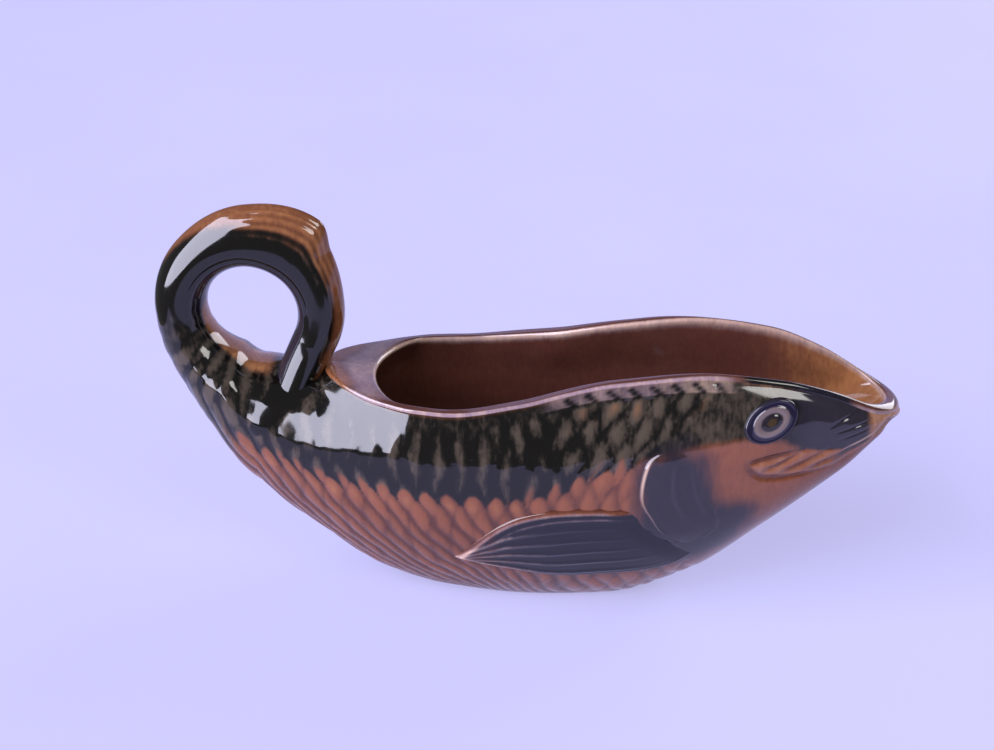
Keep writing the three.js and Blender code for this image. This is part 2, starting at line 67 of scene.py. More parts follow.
# Main sizes of the boat, in millimetres: +X to the snout, +Z up, the fish's right flank at -Y
SNOUT_X = 121.0
LOOP_X = -89.5
LOOP_Z = 99.0
HOLE_RADIUS = 15.4
WALL = 4.2
FLOOR = 5.0
FLOOR_BLEND = 1.5
RIM_WIDTH = 4.2
LIP = 5.0
DECK_RUN = 21.5
DECK_LENGTH = 18.5
BACK_UNDERCUT = 14.0
SPOUT_SLOPE = 21.0
FOOT_SINK = 6.0
FOOT_FLARE = 6.0
SNOUT_ROUND = 11.0
OPENING_ROUND_BACK = 12.0
OPENING_ROUND_FRONT = 10.0
OPENING_EASE = 0.1
DECK_BACK = LOOP_X + DECK_RUN
OPENING_BACK = DECK_BACK + DECK_LENGTH
OPENING_FRONT = SNOUT_X - LIP
SNOUT_PATH = SNOUT_X - LOOP_X
ARC = 0.5523
PATH_RADIUS = 26.0

# Sections of the hull: x, heights of the keel, the widest line and the top edge, half beam, lean in degrees
HULL = [
    (SNOUT_X, 71.5, 73, 74, 3.5, 60),
    (SNOUT_X - 3.5, 67, 71, 75, 9.8, 65),
    (SNOUT_X - 11, 59, 67.5, 78.2, 15.8, 70),
    (SNOUT_X - 23, 46.5, 63, 84, 20.6, 74),
    (SNOUT_X - 41, 29, 58, 89.2, 26, 76),
    (SNOUT_X - 63, 9, 53, 91, 29.7, 74),
    (30, -3.5, 49.5, 87.6, 32, 70),
    (0, -5.5, 48, 80.7, 33.2, 72),
    (DECK_BACK + 43, -3.5, 49, 77.3, 32.6, 74),
    (DECK_BACK + 20, 2.5, 52.5, 77.6, 28.8, 62),
    (DECK_BACK, 16, 56, 80, 24, 25),
    (LOOP_X, 34, 65, 81, 18.5, 0),
]

# Sections of the tail: degrees turned round the finger hole, depth to the outer edge and to the widest line
# from the hole's wall, half beam, and how full the outer edge is
TAIL = [
    (22, 30, 11.5, 15.5, 1),
    (50, 20, 9.4, 12, 1),
    (90, 16.8, 8.2, 10, 1),
    (135, 17.2, 8.2, 8.8, 0.85),
    (180, 20.6, 8.4, 8, 0.6),
    (217, 24.2, 8.6, 7.2, 0.45),
    (232, 18.9, 8.2, 7.2, 0.55),
    (266, 15, 7.8, 7.8, 0.85),
    (295, 14.6, 7.6, 9, 1),
]
LAST_TURN = TAIL[-1][0]

# Half width of the top edge seen from above
EDGE_PLAN = [
    (DECK_BACK, 0),
    (DECK_BACK + 2, 6),
    (DECK_BACK + 5, 10.5),
    (DECK_BACK + 12, 17),
    (DECK_BACK + 22, 23.2),
    (DECK_BACK + 34, 27.6),
    (DECK_BACK + 48, 29),
    (0, 26.7),
    (14, 24),
    (28, 22.9),
    (SNOUT_X - 59, 22.7),
    (SNOUT_X - 41, 21.8),
    (SNOUT_X - 23, 18.7),
    (SNOUT_X - 8, 14.4),
    (SNOUT_X - 1, 12),
]

# Reliefs on the flank, as points behind the snout tip and above the widest line
EYE_BEHIND, EYE_UP, EYE_LENGTH, EYE_HEIGHT = 43.2, 21.6, 16.5, 14.0
EYE_PROFILE = [
    (0, 1.6), (0.25, 1.5), (0.36, 1.2), (0.42, 1.15), (0.52, 1.35), (0.62, 1.3),
    (0.72, 0.95), (0.82, 0.85), (0.9, 1.0), (0.96, 0.7), (1, -0.1),
]
GILL_REAR = [(70, 18.5), (78.4, 17.4), (82, 12.8), (82.9, 2.1), (79.4, -6), (75.2, -12.7), (65, -20.5)]
GILL_FRONT = [(68, 18.2), (64, 14), (62, 7.5), (60, 1.5), (57, -5.6), (56, -13.5), (63.5, -20.2)]
FIN_UPPER = [(84.3, -2.7), (98, -1.2), (114, -2), (127, -8), (142, -24.5)]
FIN_LOWER = [(62.5, -25), (73, -29), (90, -30), (108, -30.5), (124, -27.5), (142, -24.5)]
FIN_ROOT_BEND = 2.6
FIN_RAYS = 6
# Grooves of the mouth and the snout: points, width and depth
FACE_LINES = [
    ([(49.2, 8.6), (42.1, 8.7), (34.7, 8.4)], 1.4, 1.2),
    ([(45.2, 4.6), (38.2, 6.0), (32.6, 8.2)], 1.2, 1.0),
    ([(38.5, 2.5), (31.8, 3.4), (23.8, 5.0)], 1.3, 1.1),
    ([(30.5, 0.6), (24.1, 0.9), (17.0, 1.9)], 1.2, 1.0),
    ([(49.2, 8.2), (47.1, 5.0), (43.8, 2.4), (39.8, 1.0), (34.7, -0.2), (24.0, -1.6)], 1.5, 1.2),
    ([(14.0, 13.0), (18.3, 13.6), (20.8, 13.5), (24.5, 12.8)], 0.7, 0.4),
    ([(9.4, 8.0), (13.6, 8.7), (17.6, 9.4), (22.5, 10.0)], 0.7, 0.4),
    ([(10.5, 5.8), (15.5, 6.2), (21.0, 7.0)], 0.6, 0.3),
]

# Lower edge of the upper jaw, which hangs over the lower one
JAW_EDGE = [(0, -1.5), (2.5, 2.0), (5.2, 3.9), (7.5, 2.9), (12.2, 2.0), (16.6, 2.0), (21.5, 1.1), (28, 0.2)]

# Outline of the fleshy lips
LIPS = [
    (49.4, 8.3), (44.6, 2.2), (34.6, -0.6), (22, -2.2), (9.5, -1.8), (8.5, 1.2), (16.6, 2.2), (24, 5.2),
    (33, 8.6), (42, 9.2),
]

# Front end of the scales by height, and the height where the dark back glaze ends by x
SCALES_FRONT = [
    (0, 62), (20, 60), (32, 54), (38.5, 45.8), (45, 41), (52, 37.5), (63, 38.5), (69, 43), (76, 53), (90, 64),
]
BACK_LINE = [
    (-100, 62), (-90, 57), (-78, 53.5), (-65, 50), (-50, 49.7), (-12, 50), (0, 51), (13, 55), (26, 62),
    (38, 65), (50, 69), (62, 71.5), (72, 72.5), (80, 72.5), (86, 70), (91.7, 67.8), (96.4, 66), (101, 66.2),
    (106.7, 68.2), (113, 71), (121, 74.5),
]

# Outline of the slate glaze round the gill, as (x, z)
GILL_SLATE = [
    (38.5, 60), (41, 66), (46.5, 70.5), (53.3, 71.5), (58, 68), (59, 60.3), (62, 51.5), (67.4, 48.8),
    (73, 48), (73.5, 42.3), (69, 34.5), (61, 27), (50.8, 23.8), (40.2, 22), (27, 21), (25, 32), (36, 39),
    (39, 48),
]

# Middle of the clay drawn from the tail's foot down the flank, as (x, z), and its height
FOOT_TONGUE = [(-73.5, 80.5), (-78, 75.5), (-82.5, 70), (-87, 64)]
FOOT_TONGUE_HEIGHT = 0.15
FOOT_FILL_REACH = 10

# Scales: their lean in front, their sweep at the rear, how they stretch into ribs up the flank, their outline
SCALE_LEAN = 0.22
SCALE_SWEEP = 75
RIB_START = 4
RIB_STRETCH = 1.4
SCALE_SQUARE = 2.2
LEAF_SHARP = 1.2
CHANCE = (12.9898, 78.233, 43758.5453)

# Top edge: its bead, the slanting strokes across it and the round shoulder of the head
EDGE_BAND = 3.9
BEAD_WIDTH = 3.6
BEAD_HEIGHT = 0.25
STROKE_STEP = 6.6
STROKE_SLANT = 1.1
STROKE_SHARP = 3.5
STROKE_STRENGTH = 0.65
STROKE_DEPTH = 0.25
SHOULDER_WIDTH = 8
SHOULDER_DEPTH = 2.1
RIM_CORNER = 2.2

# Face: how far from the snout and the widest line it reaches, and its forms
FACE_RUN = 56
FACE_HALF = 18
FOLD_SOFT = 0.7
JAW_STEP = 1.7
LIP_RISE = 0.35

# Tail: its rays over a half section, its grooves, and the ripples round the wall of the finger hole
TAIL_RAYS = 6.5
TAIL_RAY_DEPTH = 0.13
TAIL_GROOVE_DEPTH = 0.3
TAIL_RIPPLE_DEPTH = 0.1
TAIL_RIPPLES = 20

# Glaze: how much thinner it lies on the smooth head, its refraction and waviness, and bare clay's roughness
HEAD_THIN = 0.22
GLAZE_IOR = 1.55
GLAZE_WAVE = 0.05
GLAZE_WAVE_DEPTH = 0.8 * MM
CLAY_ROUGHNESS = 0.75

# Patterns in the glaze per metre: clouds, runs down the flank, runs at a border, specks and waves
CLOUD_SCALE = 130.0
RUN_SCALE = 850.0
BORDER_SCALE = 260.0
SPECK_SCALE = 620.0
WAVE_SCALE = 90.0
SPECK_COLOUR = (0.02, 0.012, 0.008, 1)
SPECK_RARITY = 0.9
TONE_WEIGHT = 0.22

# Meshes: girth of the belly and the back, run of the closer rows at the nose, and points of each part
BELLY_GIRTH = 66
BACK_GIRTH = 40
NOSE_RUN = 30
RIM_POINTS = 25
BOWL_POINTS = 64
GILL_GRID = (100, 64)
FIN_GRID = (140, 90)
EYE_GRID = (73, 44)
RELIEF_ROOT = 0.8
WELD_STEP = 0.002
SEAM_REACH = 0.35
SHARP_DEGREES = 70
BISECTIONS = 32

# Table in metres: front rows as left corner and right end's y, then where it sweeps up into a wall
TABLE_FRONT = [((-0.36, -0.28), -0.73), ((-0.29, 0.1), 0.1), ((-0.33, 0.25), 0.25)]
TABLE_LEFT, TABLE_RIGHT, TABLE_FAR, TABLE_BOW, TABLE_TOP = -0.75, 1.7, 1.1, 0.35, 1.3

# Lamps in metres: place, target, width and height, and tint
LAMPS = {
    "window": ((-2.38, -1.76, 1.41), (0, 0, 0.06), (2.9, 3.68), (0.8, 0.8, 1.0)),
    "front_light": ((0.65, -0.68, 0.8), (0.05, 0, 0.06), (0.55, 0.36), (1.0, 0.98, 0.95)),
    "back_light": ((1.05, 0.88, 0.7), (0, 0, 0.06), (0.9, 0.6), (0.92, 0.92, 1.0)),
}

# Camera fitted to the photograph: its axes, and its place in metres
CAMERA_RIGHT = (0.99619, 0.08716, 0)
CAMERA_FORWARD = (-0.07623, 0.87129, -0.48481)
CAMERA_PLACE = (0.0257025, -0.4023161, 0.301508)


# Small helpers for shapes

def smooth(low, high, x):
    """0 below low, 1 above high, with a soft step between."""
    t = np.clip((np.asarray(x, float) - low) / (high - low), 0, 1)
    return t * t * (3 - 2 * t)


def between(start, full, end, gone, x):
    """0 below start, 1 from full to end and 0 above gone, with soft steps."""
    return smooth(start, full, x) * smooth(gone, end, x)


def crest(middle, width, x):
    """1 on a line, falling off softly on both sides of it."""
    return np.exp(-((x - middle) / width)**2)


def wave(turns):
    """Waves between 0 and 1, one for each whole turn."""
    return 0.5 + 0.5 * np.cos(2 * np.pi * turns)


def unit(vectors):
    return vectors / np.maximum(np.linalg.norm(vectors, axis=-1, keepdims=True), 1e-9)


def unit_grid(rows, columns):
    return np.meshgrid(np.linspace(0, 1, rows), np.linspace(0, 1, columns), indexing="ij")


def mix(a, b, t):
    return a + (b - a) * t


def round_end(distance, length):
    """0 at an end, rising along a quarter ellipse to 1 at the given length from it."""
    t = np.clip(np.asarray(distance, float) / length, 0, 1)
    return np.sqrt(t * (2 - t))


def curve(points):
    """Smooth curve through points that never overshoots them, held level past its ends."""
    xs, ys = (np.array(v, float) for v in zip(*sorted(points)))
    run = np.diff(xs)
    rise = np.diff(ys) / run
    before, after = rise[:-1], rise[1:]
    weight = (2 * run[1:] + run[:-1]) / (3 * (run[1:] + run[:-1]))
    below = weight * after + (1 - weight) * before
    inner = np.where(before * after > 0, before * after / np.where(below == 0, 1, below), 0)
    slope = np.concatenate([rise[:1], inner, rise[-1:]])

    def at(x):
        x = np.asarray(x, float)
        i = np.clip(np.searchsorted(xs, x, "right") - 1, 0, len(run) - 1)
        t = np.clip((x - xs[i]) / run[i], 0, 1)
        bend = slope[i] * run[i] * (t - 2 * t**2 + t**3) + slope[i + 1] * run[i] * (t**3 - t**2)
        return mix(ys[i], ys[i + 1], 3 * t**2 - 2 * t**3) + bend

    return at


def spline(points, t):
    """Points of a spline through the given points, for t from 0 to 1."""
    p = np.array(points, float)
    along = np.clip(np.asarray(t, float), 0, 1) * (len(p) - 1)
    i = np.minimum(along.astype(int), len(p) - 2)
    f = (along - i)[..., None]
    a, b, c, d = (p[np.clip(i + k, 0, len(p) - 1)] for k in (-1, 0, 1, 2))
    tan0, tan1 = (c - a) / 2, (d - b) / 2
    return (
        (2 * f**3 - 3 * f**2 + 1) * b + (f**3 - 2 * f**2 + f) * tan0
        + (3 * f**2 - 2 * f**3) * c + (f**3 - f**2) * tan1
    )


def near_line(x, y, points, samples=60):
    """Distance from each (x, y) to a spline, and how far along it the nearest place is."""
    line = spline(points, np.linspace(0, 1, samples))
    best = np.full(np.shape(x), 1e9)
    place = np.zeros(np.shape(x))
    for k in range(samples - 1):
        step = line[k + 1] - line[k]
        t = np.clip(((x - line[k, 0]) * step[0] + (y - line[k, 1]) * step[1]) / (step @ step), 0, 1)
        d = np.hypot(x - line[k, 0] - t * step[0], y - line[k, 1] - t * step[1])
        closer = d < best
        best = np.where(closer, d, best)
        place = np.where(closer, (k + t) / (samples - 1), place)
    return best, place


def inside(x, y, outline):
    """Distance to a closed outline, positive within it and negative outside."""
    closed = outline + outline[:1]
    samples = 6 * len(outline) + 1
    distance, _ = near_line(x, y, closed, samples)
    line = spline(closed, np.linspace(0, 1, samples))
    crossings = np.zeros(np.shape(x), int)
    for (ax, ay), (bx, by) in zip(line[:-1], line[1:]):
        if ay != by:
            spans = (ay > y) != (by > y)
            crossings += spans & (x < ax + (y - ay) / (by - ay) * (bx - ax))
    return np.where(crossings % 2 == 1, distance, -distance)


# The hull and the tail share one path: x from the finger hole's centre along the hull, and negative round the
# hole along the tail. Sections are measured down from the hole's centre.

def turn_path(turn):
    return -np.radians(turn) * PATH_RADIUS


STATIONS = [(x - LOOP_X, LOOP_Z - keel, LOOP_Z - wide, LOOP_Z - edge, beam, lean, 1)
            for x, keel, wide, edge, beam, lean in HULL]
STATIONS += [(turn_path(turn), HOLE_RADIUS + depth, HOLE_RADIUS + wide, HOLE_RADIUS, beam, 0, full)
             for turn, depth, wide, beam, full in TAIL]
outer_at, wide_at, inner_at, beam_at, lean_at, full_at = (
    curve([(s[0], s[k]) for s in STATIONS]) for k in range(1, 7)
)
edge_plan = curve(EDGE_PLAN)


def edge_half(x):
    return edge_plan(x) * round_end(SNOUT_X - x, SNOUT_ROUND)


def opening_ends(x):
    return round_end(x - OPENING_BACK, OPENING_ROUND_BACK) * round_end(OPENING_FRONT - x, OPENING_ROUND_FRONT)


def cubic(a, b, c, d, t):
    return (1 - t)**3 * a + 3 * (1 - t)**2 * t * b + 3 * (1 - t) * t**2 * c + t**3 * d


def half_section(path, share):
    """Half width and depth below the hole's centre: share 0 is the keel, 1 the widest line, 2 the edge."""
    outer, wide, inner, beam = outer_at(path), wide_at(path), inner_at(path), beam_at(path)
    edge = np.where(path > 0, edge_half(LOOP_X + path), 0)
    half_low = cubic(0, beam * ARC * full_at(path), beam, beam, share)
    depth_low = cubic(outer, outer, wide + (outer - wide) * ARC, wide, share)
    lean = np.radians(lean_at(path))
    reach = ARC * ((beam - edge) * np.cos(lean) + (wide - inner) * np.sin(lean))
    high = share - 1
    half_high = cubic(beam, beam, edge + reach * np.cos(lean), edge, high)
    depth_high = cubic(wide, wide - (wide - inner) * ARC, inner + reach * np.sin(lean), inner, high)
    return np.where(share <= 1, half_low, half_high), np.where(share <= 1, depth_low, depth_high)


def skin_point(path, share):
    """Point of the smooth right flank."""
    path, share = np.broadcast_arrays(np.asarray(path, float), np.asarray(share, float))
    half, depth = half_section(path, share)
    turn = np.maximum(-path, 0) / PATH_RADIUS
    x = LOOP_X + np.maximum(path, 0) - depth * np.sin(turn)
    return np.stack([x, -half, LOOP_Z - depth * np.cos(turn)], -1)


def outward(path, share, step=0.02):
    """Direction straight out of the smooth right flank."""
    forward = skin_point(path + step, share) - skin_point(path - step, share)
    upward = skin_point(path, share + step) - skin_point(path, share - step)
    return unit(np.cross(forward, upward))


def flank_share(path, up):
    """Share of the half section at a height above the widest line."""
    depth = wide_at(path) - up
    low, high = np.zeros(np.shape(path)), np.full(np.shape(path), 2.0)
    for _ in range(BISECTIONS):
        middle = (low + high) / 2
        deeper = half_section(path, middle)[1] > depth
        low, high = np.where(deeper, middle, low), np.where(deeper, high, middle)
    return low


def girth_of(points, shares):
    """Distance along each row from its widest line, positive upwards."""
    steps = np.linalg.norm(np.diff(points, axis=1), axis=-1)
    total = np.concatenate([np.zeros((len(points), 1)), np.cumsum(steps, axis=1)], axis=1)
    middle = np.argmin(np.abs(shares - 1))
    return total - total[:, middle:middle + 1]


# Carving of the skin

def scale_field(path, girth, sizes):
    """Height of the scales from 0 in a groove to 1 on a crest, and a chance tone for each scale."""
    x = path + LOOP_X
    rear = 1 - smooth(-25, 15, x)
    front = smooth(-5, 35, x)
    ribs = 1 - smooth(-12, 10, x)
    lean = np.where(girth < 0, rear * girth**2 / SCALE_SWEEP, front * SCALE_LEAN * girth)
    wander = 0.5 * np.sin(0.23 * x + 0.31 * girth) + 0.4 * np.sin(0.41 * girth - 0.19 * x + 2)
    ribbed = RIB_START + (girth - RIB_START) / (1 + RIB_STRETCH * ribs)
    up = np.where(girth > RIB_START, ribbed, girth) + 0.6 * np.sin(0.17 * x + 1)
    column = (x - lean + wander) / (sizes.scale_width / MM)
    row = up / (sizes.scale_row / MM)
    u, w = column + row / 2, column - row / 2
    cell_u, cell_w = np.round(u), np.round(w)
    off_u, off_w = np.abs(2 * (u - cell_u)), np.abs(2 * (w - cell_w))
    leaf = 1 - np.clip((off_u**SCALE_SQUARE + off_w**SCALE_SQUARE)**(1 / SCALE_SQUARE), 0, 1)**LEAF_SHARP
    plate = 1 - np.clip(off_u**SCALE_SQUARE + 0.4 * off_w**3, 0, 1)
    lap = 0.5 - 0.5 * (u - cell_u - w + cell_w)
    tone = np.mod(np.sin(cell_u * CHANCE[0] + cell_w * CHANCE[1]) * CHANCE[2], 1)
    high = smooth(-3, 5, girth)
    share = mix(0.14, 0.3, high)
    return np.clip((1 - share) * mix(plate, leaf, high) + share * lap, 0, 1), tone


def scale_mask(path, below_edge, points):
    """Where the flank is scaled: not on the head, the rim, the base or the outer tail."""
    x, z = points[..., 0], points[..., 2]
    under_rim = np.where(path > DECK_RUN, smooth(3.2, 5.5, below_edge), smooth(2, 7, below_edge))
    behind_head = smooth(0, 5, curve(SCALES_FRONT)(z) - x)
    return under_rim * smooth(0.5, 5, z) * behind_head * smooth(-44, -20, path)


def groove_depth(x, girth, below_edge, sizes):
    """Depth of the grooves between scales: less up the rear flank, beside the tail and under the rim."""
    depth = sizes.scale_depth / MM * mix(1, 0.55, smooth(-3, 14, girth) * smooth(40, 5, x))
    depth = depth * mix(1, 0.3, smooth(-14, 2, girth) * smooth(-34, -46, x))
    return depth * mix(1, smooth(2, 14, below_edge), smooth(30, 5, x))


def lean_in(x, path, girth):
    """How far the rear flank leans in towards the rim, so that it faces further up."""
    amount = mix(1.2, 1.9, smooth(-62, -38, x)) * smooth(8, -24, x) * smooth(-24, 0, path)
    return amount * (smooth(0, 20, girth) - 0.4 * smooth(-8, 2, girth))


def tail_turn(path):
    return -path / PATH_RADIUS * 180 / np.pi


def ray_zone(turn, share):
    """Where the tail fin has rays."""
    return between(165, 195, 235, 275, turn) * between(0.12, 0.3, 0.75, 1.0, share)


def tail_rays(path, share):
    """Fine rays of the tail fin, from 0 between them to 1 on a ray."""
    return ray_zone(tail_turn(path), share) * wave(TAIL_RAYS * share)


def tail_carving(path, share):
    """Depth of the grooves between the tail's rays and beside its bead, and of the ripples in the hole."""
    turn = tail_turn(path)
    bead = between(75, 120, 245, 285, turn) * crest(1.3, 0.07, share)
    ripple = between(45, 60, 95, 125, turn) * between(1.3, 1.42, 1.7, 1.9, share)
    return (
        TAIL_RAY_DEPTH * (ray_zone(turn, share) - tail_rays(path, share)) + TAIL_GROOVE_DEPTH * bead
        + TAIL_RIPPLE_DEPTH * ripple * wave(turn * TAIL_RIPPLES / 360)
    )


def hole_wall(share):
    """Where the half section turns into the wall of the finger hole."""
    return smooth(1.66, 1.86, share)


def face_carving(points):
    """Depth of the mouth's folds and the step under the upper jaw, and where lips, jaw line and the dark
    slate painted as shade under the upper jaw are.
    """
    behind = SNOUT_X - points[..., 0]
    up = points[..., 2] - (LOOP_Z - wide_at(points[..., 0] - LOOP_X))
    folds, lips = np.zeros(behind.shape), np.zeros(behind.shape)
    close = (behind < FACE_RUN) & (np.abs(up) < FACE_HALF)
    for line, width, deep in FACE_LINES:
        distance, place = near_line(behind[close], up[close], line)
        ends = np.sqrt(np.sin(np.pi * np.clip(place, 0.03, 0.97)))
        folds[close] = np.maximum(folds[close], deep * ends * crest(0, FOLD_SOFT * width, distance))
    lips[close] = smooth(-0.4, 1.2, inside(behind[close], up[close], LIPS))
    below = curve(JAW_EDGE)(behind) - up
    along = between(0, 4, 15, 27, behind)
    step = JAW_STEP * along * between(-0.3, 0.9, 2, 11, below)
    # Dark slate painted just under the overhanging upper jaw: painted shade in the slot
    shade_under_jaw = along * between(-0.1, 0.6, 1.6, 3.4, below)
    jaw_line = along * crest(-0.7, 0.6, below)
    return folds, step, lips, shade_under_jaw, jaw_line


def foot_tongue(points):
    """Height of the clay drawn from the tail's foot down the flank, narrower at its lower end."""
    distance, place = near_line(points[..., 0], points[..., 2], FOOT_TONGUE)
    half = mix(8, 3.5, place)
    return FOOT_TONGUE_HEIGHT * smooth(0, 1, (half - distance) / 4.5)


def edge_carving(x, below_edge):
    """Bead along the top edge, which runs out into the round shoulder of the head."""
    bead = BEAD_HEIGHT * np.sin(np.pi * np.clip(below_edge / BEAD_WIDTH, 0, 1)) * smooth(-14, 6, x)
    shoulder = SHOULDER_DEPTH * np.clip(1 - below_edge / SHOULDER_WIDTH, 0, 1)**2
    return mix(bead, -shoulder, between(38, 66, 110, 121, x))


def edge_strokes(x, below_edge):
    """Slanting strokes across the bead, 0 beside them."""
    where = between(4, 18, 58, 70, x) * between(0.3, 1, 3.2, EDGE_BAND, below_edge)
    return STROKE_STRENGTH * where * wave((x - STROKE_SLANT * below_edge) / STROKE_STEP)**STROKE_SHARP


def glaze_zones(points, relief):
    """Which glaze lies where on the outside: dark back, slate, amber."""
    x, z = points[..., 0], points[..., 2]
    back = smooth(-3.5, 3.5, z - curve(BACK_LINE)(x) - 8 * (relief - 0.45)) * smooth(115, 108, x)
    gill = smooth(-11, 7, inside(x, z, GILL_SLATE)) * mix(1, 0.7, smooth(60, 72, z))
    slate = np.maximum(gill, back * smooth(78, 92, x))
    amber = smooth(107, 114, x) * smooth(66, 70, z)
    return back, slate, amber


# Meshes

MIRROR = np.array([1, -1, 1])
FIELDS = ("relief", "back", "slate", "amber", "edge", "inside", "tone", "clay")


class Patch:
    """Grid of points that makes quads, with the values of the glaze fields at each point."""

    def __init__(self, points, fields):
        self.points = points
        self.fields = fields

    def mirrored(self):
        return Patch(self.points * MIRROR, self.fields)


def grid_faces(rows, columns, start):
    index = np.arange(rows * columns).reshape(rows, columns) + start
    return np.stack([index[:-1, :-1], index[1:, :-1], index[1:, 1:], index[:-1, 1:]], -1).reshape(-1, 4)


def weld_keys(points):
    return np.round(points / WELD_STEP).astype(np.int64)


def weld(points, faces, fields):
    """Joins points at the same place, and drops corners and faces that have shrunk to nothing."""
    _, first, same = np.unique(weld_keys(points), axis=0, return_index=True, return_inverse=True)
    same = same.ravel()
    kept = []
    for face in same[faces].tolist():
        corners = [c for i, c in enumerate(face) if c != face[i - 1]]
        if len(set(corners)) == len(corners) >= 3:
            kept.append(corners)
    return points[first], kept, {name: values[first] for name, values in fields.items()}


def make_piece(name, patches, material, node, seam=None):
    """Closed mesh of several patches, as a piece that stands for a node of the frame."""
    points, faces, columns = [], [], {field: [] for field in FIELDS}
    start = 0
    for patch in patches:
        rows, count = patch.points.shape[:2]
        points.append(patch.points.reshape(-1, 3))
        faces.append(grid_faces(rows, count, start))
        for field in FIELDS:
            values = np.broadcast_to(patch.fields.get(field, 0.0), (rows, count))
            columns[field].append(values.reshape(-1))
        start += rows * count
    fields = {field: np.concatenate(values) for field, values in columns.items()}
    low, high = (np.array(corner) / MM for corner in CAD_BOX)
    points = np.clip(np.concatenate(points), low, high)
    points, faces, fields = weld(points, np.concatenate(faces), fields)
    mesh = bpy.data.meshes.new(name)
    mesh.from_pydata((points * MM).tolist(), [], faces)
    for field, values in fields.items():
        mesh.attributes.new(field, "FLOAT", "POINT").data.foreach_set("value", values.astype(np.float32))
    shape = bmesh.new()
    shape.from_mesh(mesh)
    bmesh.ops.recalc_face_normals(shape, faces=shape.faces)
    shape.to_mesh(mesh)
    shape.free()
    mesh.shade_smooth()
    mesh.set_sharp_from_angle(angle=math.radians(SHARP_DEGREES))
    if seam:
        match_seam(mesh, points, *seam)
    mesh.materials.append(material)
    piece = bpy.data.objects.new(name, mesh)
    bpy.context.scene.collection.objects.link(piece)
    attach(piece, "root")
    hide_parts(node)


def match_seam(mesh, points, seam_points, seam_normals):
    """Gives the points along a seam the normals that both sides of it share."""
    place = {tuple(key): index for index, key in enumerate(weld_keys(points).tolist())}
    normals = np.zeros((len(points), 3))
    for side in (np.ones(3), MIRROR):
        for key, normal in zip(weld_keys(seam_points * side).tolist(), seam_normals * side):
            normals[place[tuple(key)]] += normal
    mesh.normals_split_custom_set_from_vertices(unit(normals).tolist())


def end_cap(row):
    """Flat end across a half ring and its mirror image, as a patch that shrinks to the middle."""
    ring = np.concatenate([row, (row * MIRROR)[::-1]])
    return np.stack([ring, np.broadcast_to(ring.mean(axis=0), ring.shape)])


# The skin of hull and tail

def hull_shares(step):
    """Points up a half section: the same for hull and tail, so that they meet."""
    belly = np.linspace(0, 1, int(BELLY_GIRTH / step))
    back = np.linspace(1, 2, int(BACK_GIRTH / step))
    return np.concatenate([belly, back[1:]])


def filled_flank(path, share):
    """Smooth right flank with the notch beside the tail's foot filled by drawn clay."""
    bare = skin_point(path, share)
    x = bare[..., 0]
    steps = np.linspace(-FOOT_FILL_REACH, FOOT_FILL_REACH, 15)
    around = np.mean([skin_point(path + step, share) for step in steps], axis=0)
    weight = between(-92, -80, -58, -46, x) * between(0.95, 1.2, 1.8, 2.0, share)
    return mix(bare, around, weight[..., None])


